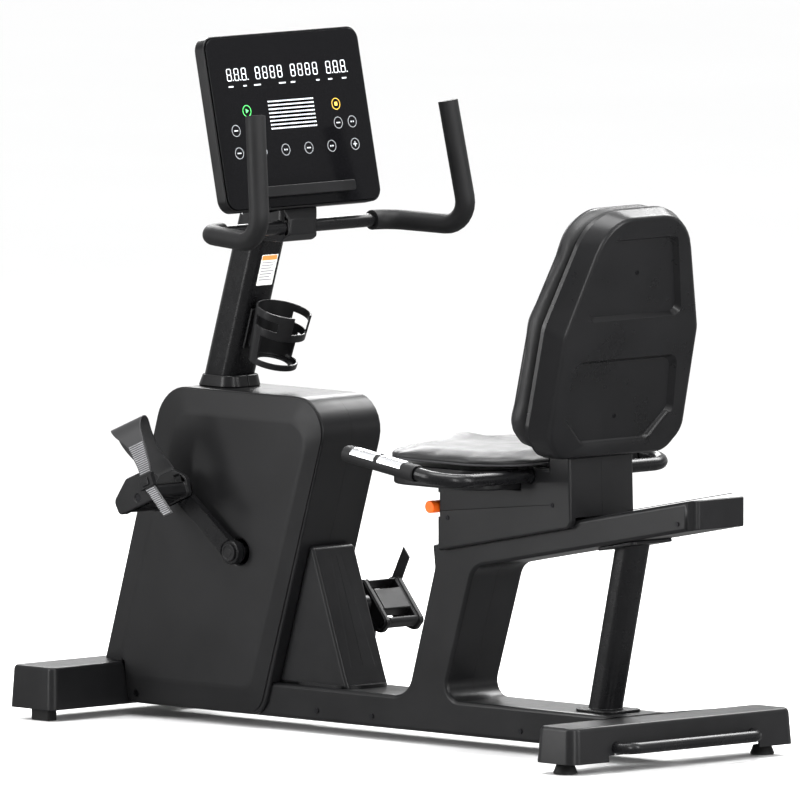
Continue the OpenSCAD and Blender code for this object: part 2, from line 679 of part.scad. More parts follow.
module flywheel() {
    color(c_bare) difference() {
        union() {
            rod_y(flywheel_c.x, flywheel_c.z, -14, 14, flywheel_r);
            rod_y(flywheel_c.x, flywheel_c.z, -26, 26, 22);
            rod_y(flywheel_c.x, flywheel_c.z, 36, belt_y + 9, pinion_r);
            rod_y(flywheel_c.x, flywheel_c.z, 20, 40, 10);
        }
        for (s = [-1, 1]) difference() {
            rod_y(flywheel_c.x, flywheel_c.z, s * 16 - 6, s * 16 + 6, flywheel_r - 24);
            rod_y(flywheel_c.x, flywheel_c.z, s * 16 - 7, s * 16 + 7, 34);
        }
        rod_y(flywheel_c.x, flywheel_c.z, -40, 70, 6.05);
    }
}
module belt() {
    // A flat ribbed belt round both pulleys, clear of their rims
    d = flywheel_c - crank;
    reach = norm(d);
    tilt = acos((pulley_r - pinion_r) / reach);
    base = atan2(d.z, d.x);
    function tangent(c, r, s) = [c.x + r * cos(base + s * tilt), c.z + r * sin(base + s * tilt)];
    t = 3;
    color(c_rubber) difference() {
        union() {
            rod_y(crank.x, crank.z, belt_y - 7, belt_y + 7, pulley_r + t);
            rod_y(flywheel_c.x, flywheel_c.z, belt_y - 7, belt_y + 7, pinion_r + t);
            slab_y([tangent(crank, pulley_r + t, 1), tangent(flywheel_c, pinion_r + t, 1),
                    tangent(flywheel_c, pinion_r + t, -1), tangent(crank, pulley_r + t, -1)],
                   belt_y - 7, belt_y + 7);
        }
        rod_y(crank.x, crank.z, belt_y - 8, belt_y + 8, pulley_r + 0.3);
        rod_y(flywheel_c.x, flywheel_c.z, belt_y - 8, belt_y + 8, pinion_r + 0.3);
        slab_y([tangent(crank, pulley_r + 0.3, 1), tangent(flywheel_c, pinion_r + 0.3, 1),
                tangent(flywheel_c, pinion_r + 0.3, -1), tangent(crank, pulley_r + 0.3, -1)],
               belt_y - 8, belt_y + 8);
    }
}
module idler() {
    color(c_bare) difference() {
        rod_y(idler_c.x, idler_c.z, belt_y - 9, belt_y + 9, 14);
        rod_y(idler_c.x, idler_c.z, belt_y - 10, belt_y + 10, 4.05);
    }
}
module magnet_bracket() {
    // Curved arm that carries brake magnets round the rim of the flywheel
    color(c_bare) difference() {
        union() {
            intersection() {
                rod_y(flywheel_c.x, flywheel_c.z, -16, 16, flywheel_r + 16);
                block([flywheel_c.x - 95, -16, flywheel_c.z + 70], [flywheel_c.x + 60, 16, 420]);
            }
            rod_y(magnet_pivot.x, magnet_pivot.z, -16, 16, 10);
        }
        rod_y(flywheel_c.x, flywheel_c.z, -19, 19, flywheel_r + 6);
        rod_y(magnet_pivot.x, magnet_pivot.z, -19, 19, 4.05);
    }
}
module brake_motor() {
    color(c_cover) difference() {
        block([-622, -26, 440], [-570, 20, 486]);
        for (y = [-20, 14]) translate([-596, y, 430]) cylinder(h = 70, r = 2);
    }
}

// ---- pedals: local x from toe to heel, y across, z up from the sole ----
module pedal_place(side) {
    c = side < 0 ? spindle_l : spindle_r;
    translate([c.x, side * pedal_y, c.z]) rotate([0, side < 0 ? -pedal_pitch[0] : -pedal_pitch[1], 0])
        mirrored(side) children();
}
module pedal(side) {
    color(c_cover) pedal_place(side) difference() {
        union() {
            slab_y(rounded([[-56, -14], [44, -14], [46, 12], [-58, 12]], [8, 8, 8, 8]), -48, 48);
            // Raised cheeks at both ends of the tread
            for (y = [-54, 34]) slab_y(rounded([[-60, -16], [46, -16], [50, 20], [22, 44], [-18, 44], [-64, 14]],
                                               [10, 10, 16, 14, 14, 14]), y, y + 12);
        }
        translate([0, -60, 0]) rotate([-90, 0, 0]) cylinder(h = 120, r = 7.05);
        // Openings through the tread
        for (x = [-36, 30]) slab_x([[-36, -30], [36, -30], [36, 30], [-36, 30]], x - 9, x + 9);
    }
}
STRAP_INNER = [[47.8, 14, -8, 30], [47.8, 46, -10, 44], [42, 60, -14, 54], [24, 84, -20, 70], [0, 116, -12, 86]];
STRAP_OUTER = [[-24, 142, 6, 94], [-42, 142, 12, 90], [-53, 124, 22, 72], [-55.8, 98, 36, 48], [-55.8, 45, 42, 34]];
STRAP_TAIL = [[-55.8, 20, 38, 30], [-55.8, -30, 59, 26], [-55.8, -56, 70, 25]];
strap_t = 3;
module strap_rib(row) {
    translate([row[2] - row[3] / 2, row[0], row[1]]) rotate([0, 90, 0]) cylinder(d = strap_t, h = row[3], $fn = 8);
}
module strap(side) {
    run = concat(STRAP_INNER, STRAP_OUTER, STRAP_TAIL);
    color(c_rubber) pedal_place(side)
        for (i = [0:len(run) - 2])
            hull() {
                strap_rib(run[i]);
                strap_rib(run[i + 1]);
            }
}

// ---- seat carriage ----
rail_dir = [cos(rail_slope), 0, sin(rail_slope)];
roller_r = 20;
function rail_at(d, z) = [110, 0, rail_low(110) + rail_h + 1.5] + d * rail_dir + z * [-sin(rail_slope), 0, cos(rail_slope)];
roller_z = -rail_tube_h + 4 + roller_r + 0.05;
roller_d = [95, 345];
sole_lift = 9;
module carriage_frame() {
    color(c_steel) difference() {
        union() {
            // Sole plate above the rail, with a keel down through the slot
            rail_place() {
                block([60, -60, 6], [385, 60, 12]);
                for (d = roller_d) block([d - 22, -9, -36], [d + 22, 9, 7]);
            }
            // Box up to the seat and the backrest, standing on the sole plate
            difference() {
                union() {
                    block([190, -50, rail_low(190) + rail_h], [350, 50, 502.5]);
                    block([380, -50, rail_low(380) + rail_h], [440, 50, 542]);
                }
                slab_y([[100, rail_low(100)], [500, rail_low(500)], [500, rail_low(500) + rail_h + sole_lift],
                        [100, rail_low(100) + rail_h + sole_lift]], -60, 60);
            }
            block([430, -30, 505], [490, 30, 535]);
            // Backrest post
            translate(back_base) rotate([0, back_lean, 0]) block([-44.5, -22, -58], [-31, 22, 230]);
            // Ears of the release lever's shaft
            for (y = [-46, 38]) slab_y([[162, 396], [214, 404], [184, 462], [162, 462]], y, y + 8);
        }
        rod_y(lever_c.x, lever_c.z, -60, 60, 5.05);
        for (d = roller_d) rod_y(rail_at(d, roller_z).x, rail_at(d, roller_z).z, -20, 20, 6.05);
        // Bore for the handle tube
        rod_y(398, 530, -60, 60, tube_d / 2 + 0.05);
        block([200, -44, rail_low(200) + rail_h + 22], [340, 44, 496]);
        slab_y([[300, rail_low(300) + rail_h + 15], [470, rail_low(470) + rail_h + 15], [470, 500], [300, 500]],
               -44, 44);
    }
}
module rollers(d) {
    p = rail_at(d, roller_z);
    color(c_bare) difference() {
        union() {
            rod_y(p.x, p.z, -38, 38, 6);
            rod_y(p.x, p.z, -32, -10, roller_r);
            rod_y(p.x, p.z, 10, 32, roller_r);
        }
    }
}
column_top = function(x) back_base.z - (x - back_base.x) * tan(back_lean) - 0.8;
CARRIAGE = [[152, 371], [499, 436], [507, 448], [503, column_top(503)], [447, column_top(447)], [447, 543],
            [372, 543], [372, 502.6], [152, 502.6]];
module carriage_cover(side) {
    color(c_panel) difference() {
        half_shell(CARRIAGE, [6, 10, 12, 6, 2, 0, 0, 0, 10], 85, side);
        // Clear of the covers and the rail below
        slab_y([[100, rail_low(100)], [600, rail_low(600)], [600, rail_low(600) + rail_h + 5],
                [100, rail_low(100) + rail_h + 5]], -cover_y - 2, cover_y + 2);
        rod_y(398, 530, -100, 100, tube_d / 2 + 0.4);
        // Slots for the release lever's knob and arms
        block([140, -90, 436], [156, -60, 482]);
        for (y = [-31, 29]) block([140, y - 5, 436], [156, y + 5, 482]);
        block([330, -51, 536], [445, 51, 550]);
        block([185, -51, 495], [355, 51, 510]);
        // Passage of the backrest post
        translate(back_base) rotate([0, back_lean, 0]) block([-47, -24, -20], [-30.7, 24, 60]);
    }
}
module seat_pan() {
    plan = rounded([[90, -185], [368, -185], [368, 185], [90, 185]], [80, 60, 60, 80]);
    color(c_cover) translate([0, 0, 503]) linear_extrude(39) polygon(plan);
}
module seat_cushion() {
    plan = rounded([[85, -205], [432, -205], [432, 205], [85, 205]], [90, 110, 110, 90]);
    color(c_pad) translate([0, 0, 544]) linear_extrude(31) polygon(plan);
}
module back_place() {
    translate(back_base) rotate([0, back_lean, 0]) children();
}
SEAM = [[-150, 0], [150, 0], [199, 45], [197, 258], [120, 478], [-120, 478], [-197, 258], [-199, 45]];
SEAM_R = [50, 50, 50, 60, 100, 100, 60, 50];
RIDGE = [[-140, 6], [140, 6], [178, 46], [176, 245], [104, 472], [-104, 472], [-176, 245], [-178, 46]];
RIDGE_R = [45, 45, 45, 60, 90, 90, 60, 45];
module backrest_shell() {
    color(c_cover) back_place() difference() {
        hull() {
            slab_x(rounded(SEAM, SEAM_R), -45, -36);
            slab_x(rounded(RIDGE, RIDGE_R), -3, 0);
        }
        hull() {
            slab_x(rounded(inset_pts(SEAM, wall), inset_rs(SEAM, SEAM_R, wall)), -46, -37);
            slab_x(rounded(inset_pts(RIDGE, wall), inset_rs(RIDGE, RIDGE_R, wall)), -12, -11);
        }
        block([-47, -24, -10], [-30, 24, 10]);
    }
}
module backrest_cushion() {
    color(c_pad) back_place() slab_x(rounded(SEAM, SEAM_R), -45.3 - back_pad_t, -45.3);
}
seat_bend = 58;
SEAT_BAR = [[130, -handle_y, 568], [398, -handle_y, 530], [398, handle_y, 530], [130, handle_y, 568]];
module seat_handlebar() {
    color(c_steel) swept_bar(SEAT_BAR, [0, seat_bend, seat_bend, 0], tube_d / 2);
}
module seat_grips() {
    color(c_rubber) for (s = [-1, 1]) {
        p = [130, s * handle_y, 568];
        d = unit([398, 0, 530] - [130, 0, 568]);
        difference() {
            along(p - d, [0, 1, 0], cross(d, [0, 1, 0])) linear_extrude(188) pill(36, 31, 14);
            rod(p, p + 200 * d, tube_d / 2 + gap);
        }
    }
}
lever_c = [172, 0, 450];
lever_bar = [139, 0, 454];
module release_lever() {
    // Round knob on the rider's left, a cross bar, and two arms to the pivot shaft
    color(c_orange) {
        rod_y(lever_bar.x, lever_bar.z, -94, -64, 12);
        rod_y(lever_bar.x, lever_bar.z, -64, 32, 5);
        for (y = [-34, 26]) slab_y(rounded([[lever_bar.x - 6, lever_bar.z - 7], [lever_c.x, lever_c.z - 9],
            [lever_c.x + 9, lever_c.z], [lever_c.x, lever_c.z + 9], [lever_bar.x - 6, lever_bar.z + 7]],
            [4, 8, 8, 8, 4]), y, y + 6);
        rod_y(lever_c.x, lever_c.z, -45, 45, 5);
    }
}

main_frame();
seat_rail();
rear_post();
frame_cover(-1);  // frame_cover_left
frame_cover(1);  // frame_cover_right
brace_cover();
rail_end_cap();
rail_bumper();
front_stabilizer_cover();
rear_stabilizer_cover();
lift_handle();
front_feet();
rear_foot(-1);  // rear_foot_left
rear_foot(1);  // rear_foot_right
wheel_axles();
transport_wheel(-1);  // transport_wheel_left
transport_wheel(1);  // transport_wheel_right
shroud(-1);  // shroud_left
shroud(1);  // shroud_right
side_panel(-1);  // side_panel_left
side_panel(1);  // side_panel_right
mast();
mast_collar();
cup_holder();
handlebar();
handlebar_grips();
clamp_cover();
console_shell();
console_board();
console_glass();
console_ledge();
cover_screws();
crank_bearings();
flywheel_axle();
belt();
brake_motor();
flywheel();
idler();
magnet_bracket();
crank_axle();
drive_pulley();
crank_arm(-1);  // crank_arm_left
crank_arm(1);  // crank_arm_right
pedal_spindles();
pedal(-1);  // pedal_left
pedal(1);  // pedal_right
strap(-1);  // strap_left
strap(1);  // strap_right
carriage_frame();
carriage_cover(-1);  // carriage_cover_left
carriage_cover(1);  // carriage_cover_right
seat_pan();
seat_cushion();
backrest_shell();
backrest_cushion();
seat_handlebar();
seat_grips();
rollers(roller_d[0]);  // front_rollers
rollers(roller_d[1]);  // rear_rollers
release_lever();
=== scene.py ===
"""Recumbent exercise bike: soft-edged covers, padded seat and back, pedals, straps and a lit console
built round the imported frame."""
import math

import bmesh
import bpy
from mathutils import Matrix, Vector
from mathutils.bvhtree import BVHTree


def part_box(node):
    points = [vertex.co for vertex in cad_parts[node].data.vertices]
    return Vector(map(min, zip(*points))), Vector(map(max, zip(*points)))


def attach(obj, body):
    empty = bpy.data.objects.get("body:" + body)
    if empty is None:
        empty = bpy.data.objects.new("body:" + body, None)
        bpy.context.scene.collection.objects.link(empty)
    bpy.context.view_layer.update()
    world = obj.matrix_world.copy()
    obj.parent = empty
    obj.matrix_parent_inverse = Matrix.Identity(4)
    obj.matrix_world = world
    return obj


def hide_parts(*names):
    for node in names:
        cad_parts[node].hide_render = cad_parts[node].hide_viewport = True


bl_info = {
    "name": "Recumbent Exercise Bike",
    "version": (1, 0, 0),
    "blender": (4, 5, 0),
    "location": "3D View > Sidebar > Bike",
    "description": "Refines the covers, cushions, pedals and console of a recumbent exercise bike",
    "category": "Object",
}

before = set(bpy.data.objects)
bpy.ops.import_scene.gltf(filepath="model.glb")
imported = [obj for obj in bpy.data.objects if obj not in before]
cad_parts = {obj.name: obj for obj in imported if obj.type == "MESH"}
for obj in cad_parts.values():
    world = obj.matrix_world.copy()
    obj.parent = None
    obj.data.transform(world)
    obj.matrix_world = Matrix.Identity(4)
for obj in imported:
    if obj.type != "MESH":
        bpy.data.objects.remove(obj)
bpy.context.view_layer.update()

# Places that the pieces share, in metres
RAIL_SLOPE = math.radians(10.6)
BACK_LEAN = math.radians(12.5)
BACK_BASE = Vector((0.5305, 0, 0.565))
CONSOLE_TILT = math.radians(12.2)
CONSOLE_BASE = Vector((-0.285, 0, 0.990))
MAST_LEAN = math.radians(17)
MAST_BASE = Vector((-0.492, 0, 0.660))
BRACE_FACE = Vector((-0.1685, 0, 0.231))
BRACE_SLOPE = Vector((0.085, 0, -0.242))
CRANK = Vector((-0.377, 0, 0.334))
CRANK_LEN = 0.170
CRANK_ANGLE = math.radians(36.8)
PEDAL_PITCH = {-1: math.radians(22), 1: math.radians(130)}
PEDAL_Y = 0.170


# ---- sizes and colours a user would change ----
class BikeSizes(bpy.types.PropertyGroup):
    cover_edge: bpy.props.FloatProperty(
        name="Cover edge", description="Rounding along the long edges of the frame covers",
        default=0.0075, min=0.001, max=0.009, subtype='DISTANCE', unit='LENGTH')
    panel_edge: bpy.props.FloatProperty(
        name="Panel edge", description="Rounding where a side panel turns into its bevel",
        default=0.006, min=0.001, max=0.012, subtype='DISTANCE', unit='LENGTH')
    groove: bpy.props.FloatProperty(
        name="Groove width", description="Width of the joint lines moulded into the covers",
        default=0.0014, min=0.0005, max=0.003, subtype='DISTANCE', unit='LENGTH')
    pad_pressure: bpy.props.FloatProperty(
        name="Pad pressure", description="How hard the foam pushes the vinyl of the seat and back",
        default=2.2, min=0.5, max=8.0)
    pad_swell: bpy.props.FloatProperty(
        name="Pad swell", description="The furthest that the vinyl may move as the foam fills it",
        default=0.009, min=0.004, max=0.03, subtype='DISTANCE', unit='LENGTH')
    digit_height: bpy.props.FloatProperty(
        name="Digit height", description="Height of one digit of the display",
        default=0.0235, min=0.01, max=0.03, subtype='DISTANCE', unit='LENGTH')


class BikeColours(bpy.types.PropertyGroup):
    cover: bpy.props.FloatVectorProperty(
        name="Covers", description="Moulded plastic of the frame covers",
        default=(0.0065, 0.0065, 0.007), size=3, min=0, max=1, subtype='COLOR')
    panel: bpy.props.FloatVectorProperty(
        name="Side panels", description="Fine-grained plastic of the shroud's side panels",
        default=(0.0075, 0.0075, 0.008), size=3, min=0, max=1, subtype='COLOR')
    paint: bpy.props.FloatVectorProperty(
        name="Painted steel", description="Powder coat of the tubes",
        default=(0.005, 0.005, 0.0055), size=3, min=0, max=1, subtype='COLOR')
    vinyl: bpy.props.FloatVectorProperty(
        name="Vinyl", description="Cover of the seat and back cushions",
        default=(0.007, 0.007, 0.0075), size=3, min=0, max=1, subtype='COLOR')
    strap: bpy.props.FloatVectorProperty(
        name="Pedal straps", description="Ribbed rubber of the pedal straps",
        default=(0.024, 0.024, 0.025), size=3, min=0, max=1, subtype='COLOR')
    knob: bpy.props.FloatVectorProperty(
        name="Seat knob", description="Bright moulding on the seat lever",
        default=(0.92, 0.13, 0.012), size=3, min=0, max=1, subtype='COLOR')


def sizes():
    return bpy.context.scene.bike_sizes


def colours():
    return bpy.context.scene.bike_colours


# ---- materials ----
def surface(name, color, rough, metal=0.0):
    """A new material, its node tree and its shader, with object coordinates ready to use."""
    mat = bpy.data.materials.new(name)
    mat.use_nodes = True
    tree = mat.node_tree
    shader = tree.nodes["Principled BSDF"]
    shader.inputs["Base Color"].default_value = (*color, 1)
    shader.inputs["Roughness"].default_value = rough
    shader.inputs["Metallic"].default_value = metal
    place = tree.nodes.new("ShaderNodeTexCoord")
    return mat, tree, shader, place.outputs["Object"]


def noise(tree, place, scale, detail=2.0):
    node = tree.nodes.new("ShaderNodeTexNoise")
    node.inputs["Scale"].default_value = scale
    node.inputs["Detail"].default_value = detail
    tree.links.new(place, node.inputs["Vector"])
    return node.outputs["Fac"]


def spread(tree, value, low, high, start=0.3, stop=0.7):
    """The value stretched from start..stop to low..high."""
    node = tree.nodes.new("ShaderNodeMapRange")
    node.inputs["From Min"].default_value = start
    node.inputs["From Max"].default_value = stop
    node.inputs["To Min"].default_value = low
    node.inputs["To Max"].default_value = high
    tree.links.new(value, node.inputs["Value"])
    return node.outputs["Result"]


def tint(tree, value, dark, light):
    """A colour between dark and light."""
    node = tree.nodes.new("ShaderNodeMix")
    node.data_type = 'RGBA'
    node.inputs["A"].default_value = (*dark, 1)
    node.inputs["B"].default_value = (*light, 1)
    tree.links.new(value, node.inputs["Factor"])
    return node.outputs["Result"]


def bump(tree, shader, height, strength, depth, below=None):
    node = tree.nodes.new("ShaderNodeBump")
    node.inputs["Strength"].default_value = strength
    node.inputs["Distance"].default_value = depth
    tree.links.new(height, node.inputs["Height"])
    if below is not None:
        tree.links.new(below, node.inputs["Normal"])
    tree.links.new(node.outputs["Normal"], shader.inputs["Normal"])
    return node.outputs["Normal"]


def scaled(color, k):
    return tuple(min(1.0, c * k) for c in color)


def grained(name, color, rough, grain=1500, depth=0.00012, metal=0.0, wear=0.35, spec=0.22):
    """Moulded or coated surface: fine grain, faint cloudiness, and rubbed, slightly shinier areas."""
    mat, tree, shader, place = surface(name, color, rough, metal)
    cloud = noise(tree, place, 9, 3)
    rubs = noise(tree, place, 55, 4)
    tree.links.new(tint(tree, spread(tree, cloud, 0, 1), scaled(color, 0.88), scaled(color, 1.2)),
                   shader.inputs["Base Color"])
    mixed = tree.nodes.new("ShaderNodeMath")
    mixed.operation = 'MULTIPLY'
    tree.links.new(spread(tree, cloud, 1 - wear * 0.25, 1 + wear * 0.2), mixed.inputs[0])
    tree.links.new(spread(tree, rubs, rough * (1 - wear * 0.2), rough * (1 + wear * 0.15)), mixed.inputs[1])
    tree.links.new(mixed.outputs[0], shader.inputs["Roughness"])
    bump(tree, shader, noise(tree, place, grain, 2), 0.35, depth)
    shader.inputs["Specular IOR Level"].default_value = spec
    return mat


def leathery(name, color, rough=0.42):
    """Vinyl with a pebbled grain, soft creases and a light sheen."""
    mat, tree, shader, place = surface(name, color, rough)
    pebble = tree.nodes.new("ShaderNodeTexVoronoi")
    pebble.feature = 'DISTANCE_TO_EDGE'
    pebble.inputs["Scale"].default_value = 620
    tree.links.new(place, pebble.inputs["Vector"])
    folds = noise(tree, place, 26, 5)
    cloud = noise(tree, place, 7, 2)
    tree.links.new(tint(tree, spread(tree, cloud, 0, 1), scaled(color, 0.85), scaled(color, 1.25)),
                   shader.inputs["Base Color"])
    tree.links.new(spread(tree, folds, rough * 0.88, rough * 1.12), shader.inputs["Roughness"])
    first = bump(tree, shader, folds, 0.25, 0.0012)
    bump(tree, shader, spread(tree, pebble.outputs["Distance"], 0, 1, 0.0, 0.25), 0.3, 0.0002, first)
    shader.inputs["Sheen Weight"].default_value = 0.04
    shader.inputs["Specular IOR Level"].default_value = 0.3
    shader.inputs["Sheen Roughness"].default_value = 0.5
    return mat


def ribbed(name, color, rough, pitch, axis='Z'):
    """Rubber with fine ribs every pitch metres."""
    mat, tree, shader, place = surface(name, color, rough)
    wave = tree.nodes.new("ShaderNodeTexWave")
    wave.bands_direction = axis
    wave.inputs["Scale"].default_value = 0.314 / pitch
    wave.inputs["Distortion"].default_value = 0.3
    tree.links.new(place, wave.inputs["Vector"])
    cloud = noise(tree, place, 40, 3)
    tree.links.new(tint(tree, spread(tree, cloud, 0, 1), scaled(color, 0.8), scaled(color, 1.15)),
                   shader.inputs["Base Color"])
    tree.links.new(spread(tree, cloud, rough * 0.9, rough * 1.1), shader.inputs["Roughness"])
    first = bump(tree, shader, wave.outputs["Fac"], 0.4, 0.0005)
    bump(tree, shader, noise(tree, place, 1800, 2), 0.3, 0.0001, first)
    return mat


def gloss_face(name, color):
    """Dark polished acrylic with faint dust and finger haze."""
    mat, tree, shader, place = surface(name, color, 0.1)
    haze = noise(tree, place, 14, 5)
    dust = noise(tree, place, 900, 2)
    tree.links.new(spread(tree, haze, 0.07, 0.17), shader.inputs["Roughness"])
    tree.links.new(tint(tree, spread(tree, dust, 0, 1, 0.5, 0.85), color, scaled(color, 2.2)),
                   shader.inputs["Base Color"])
    bump(tree, shader, haze, 0.05, 0.0003)
    shader.inputs["Specular IOR Level"].default_value = 0.12
    return mat


def lit(name, color, glow):
    """A lit mark behind the acrylic, a little uneven."""
    mat, tree, shader, place = surface(name, color, 0.4)
    uneven = noise(tree, place, 300, 2)
    tree.links.new(tint(tree, spread(tree, uneven, 0, 1), scaled(color, 0.8), color),
                   shader.inputs["Emission Color"])
    shader.inputs["Emission Strength"].default_value = glow
    bump(tree, shader, uneven, 0.1, 0.0001)
    return mat


def brushed(name, color, rough, stretch=(1, 60, 60)):
    """Bare metal with fine drawn lines."""
    mat, tree, shader, place = surface(name, color, rough, 1.0)
    turn = tree.nodes.new("ShaderNodeMapping")
    turn.inputs["Scale"].default_value = stretch
    tree.links.new(place, turn.inputs["Vector"])
    lines = noise(tree, turn.outputs["Vector"], 30, 4)
    cloud = noise(tree, place, 20, 3)
    tree.links.new(spread(tree, lines, rough * 0.75, rough * 1.3), shader.inputs["Roughness"])
    tree.links.new(tint(tree, spread(tree, cloud, 0, 1), scaled(color, 0.8), color),
                   shader.inputs["Base Color"])
    bump(tree, shader, lines, 0.15, 0.00005)
    return mat


finishes = {}


def make_finishes():
    c = colours()
    finishes.update({
        "cover": grained("moulded_cover", c.cover, 0.33),
        "panel": grained("fine_grain_panel", c.panel, 0.44, grain=1100, depth=0.00018),
        "shell": grained("back_moulding", c.cover, 0.30, grain=900, depth=0.00016),
        "paint": grained("powder_coat", c.paint, 0.28, grain=2200, depth=0.00008, wear=0.5),
        "rubber": grained("black_rubber", (0.006, 0.006, 0.006), 0.62, grain=700, depth=0.0002, spec=0.25),
        "foam": grained("foam_grip", (0.007, 0.007, 0.0075), 0.55, grain=1300, depth=0.0005),
        "vinyl": leathery("pad_vinyl", c.vinyl),
        "seam": grained("seam_thread", (0.03, 0.03, 0.032), 0.6, grain=3000),
        "strap": grained("strap_rubber", c.strap, 0.34, grain=1600, depth=0.0001, spec=0.5),
        # The rib colour is the strap's own rubber made nine times lighter: a painted highlight on the rib
        # tops, not a second rubber
        "rib_painted_highlight": ribbed("strap_rib_painted_highlight", scaled(c.strap, 9), 0.5, 0.004),
        "pedal": grained("pedal_nylon", (0.007, 0.007, 0.0075), 0.38, grain=800, depth=0.0003),
        "glass": gloss_face("console_acrylic", (0.0035, 0.0035, 0.004)),
        "white": lit("lit_white", (0.92, 0.95, 1.0), 0.75),
        "grey": lit("print_grey", (0.5, 0.52, 0.55), 0.6),
        "green": lit("lit_green", (0.12, 0.9, 0.2), 1.0),
        "yellow": lit("lit_yellow", (1.0, 0.62, 0.08), 1.0),
        "steel": brushed("bare_steel", (0.62, 0.63, 0.65), 0.3),
        "pulse": brushed("pulse_plate", (0.75, 0.76, 0.78), 0.22, (8, 1, 1)),
        "nylon": grained("pulley_nylon", (0.06, 0.06, 0.062), 0.45, grain=900),
        "board": grained("circuit_board", (0.01, 0.09, 0.03), 0.4, grain=600),
        "knob": grained("knob_moulding", c.knob, 0.3, grain=1400, depth=0.00006, wear=0.25),
        "paper": grained("label_paper", (0.82, 0.82, 0.80), 0.5, grain=2500, depth=0.00005),
        "header": grained("label_orange", (0.85, 0.26, 0.05), 0.5, grain=2500, depth=0.00005),
        "print": grained("label_grey", (0.30, 0.30, 0.31), 0.5, grain=2500, depth=0.00005),
        "screw": brushed("dark_screw", (0.025, 0.025, 0.027), 0.4, (3, 3, 3)),
        "slot": grained("dark_recess", (0.003, 0.003, 0.003), 0.7, grain=1200),
    })


# ---- bench tools ----
def only(obj):
    """Selects obj alone and makes it active."""
    if bpy.context.object and bpy.context.object.mode != 'OBJECT':
        bpy.ops.object.mode_set(mode='OBJECT')
    bpy.ops.object.select_all(action='DESELECT')
    obj.select_set(True)
    bpy.context.view_layer.objects.active = obj
    return obj


def named(name):
    """The piece just added, under its name."""
    obj = bpy.context.object
    obj.name = obj.data.name = name
    return obj


def none():
    if bpy.context.object and bpy.context.object.mode != 'OBJECT':
        bpy.ops.object.mode_set(mode='OBJECT')
    bpy.ops.object.select_all(action='DESELECT')


def settle(obj):
    """Puts the object's place into its mesh."""
    only(obj)
    bpy.ops.object.transform_apply(location=True, rotation=True, scale=True)
    return obj


def placed(obj, matrix):
    """Puts a piece that was modelled at the origin where it belongs."""
    obj.matrix_world = matrix
    return settle(obj)


def cast(node, name):
    """A copy of a CAD node's mesh as one clean skin."""
    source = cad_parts[node]
    obj = bpy.data.objects.new(name, source.data.copy())
    bpy.context.scene.collection.objects.link(obj)
    obj.data.materials.clear()
    only(obj)
    bpy.ops.object.mode_set(mode='EDIT')
    bpy.ops.mesh.select_all(action='SELECT')
    bpy.ops.mesh.remove_doubles(threshold=0.00002)
    bpy.ops.mesh.dissolve_limited(angle_limit=math.radians(0.3), use_dissolve_boundaries=False)
    bpy.ops.object.mode_set(mode='OBJECT')
    return obj


def outward(obj):
    """Turns every face to look out of the piece."""
    only(obj)
    bpy.ops.object.mode_set(mode='EDIT')
    bpy.ops.mesh.select_all(action='SELECT')
    bpy.ops.mesh.normals_make_consistent(inside=False)
    bpy.ops.object.mode_set(mode='OBJECT')
    return obj


def modify(obj, kind, **settings):
    """Adds a modifier, sets it and applies it."""
    only(obj)
    mod = obj.modifiers.new(kind.title(), kind)
    for key, value in settings.items():
        setattr(mod, key, value)
    bpy.ops.object.modifier_apply(modifier=mod.name)
    return obj


def soften(obj, width, segments=3, where=None, angle=30, clamp=False):
    """Rounds the sharp edges for which where(edge middle, edge direction) holds, or all of them."""
    if where is None:
        return modify(obj, 'BEVEL', width=width, segments=segments, limit_method='ANGLE',
                      angle_limit=math.radians(angle), use_clamp_overlap=clamp, harden_normals=False)
    mesh = bmesh.new()
    mesh.from_mesh(obj.data)
    weight = mesh.edges.layers.float.new("bevel_weight_edge")
    for edge in mesh.edges:
        if len(edge.link_faces) == 2 and edge.calc_face_angle(0) > math.radians(angle) and edge.is_convex:
            middle = (edge.verts[0].co + edge.verts[1].co) / 2
            if where(middle, (edge.verts[1].co - edge.verts[0].co).normalized()):
                edge[weight] = 1
    mesh.to_mesh(obj.data)
    mesh.free()
    return modify(obj, 'BEVEL', width=width, segments=segments, limit_method='WEIGHT',
                  use_clamp_overlap=clamp, harden_normals=False)


def finish(obj, material, body, node=None, angle=35):
    """Smooths, paints and mounts a finished piece."""
    only(obj)
    bpy.ops.object.shade_smooth_by_angle(angle=math.radians(angle))
    modify(obj, 'WEIGHTED_NORMAL', keep_sharp=True, weight=100)
    obj.data.materials.clear()
    obj.data.materials.append(finishes[material])
    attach(obj, body)
    if node:
        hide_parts(*([node] if isinstance(node, str) else node))
    return obj


def refine(node, name, material, body, edge=0.0, steps=2, sharp=30, smooth=35, where=None):
    """A CAD node's shape with softened edges, finished and mounted in the node's place."""
    piece = cast(node, name)
    if edge:
        soften(piece, edge, steps, where, sharp)
    return finish(piece, material, body, node, smooth)


def bar_box(name, low, high):
    """A box given by its lowest and highest corner."""
    none()
    low, high = Vector(low), Vector(high)
    bpy.ops.mesh.primitive_cube_add(size=1, location=(low + high) / 2)
    obj = named(name)
    obj.scale = high - low
    return settle(obj)


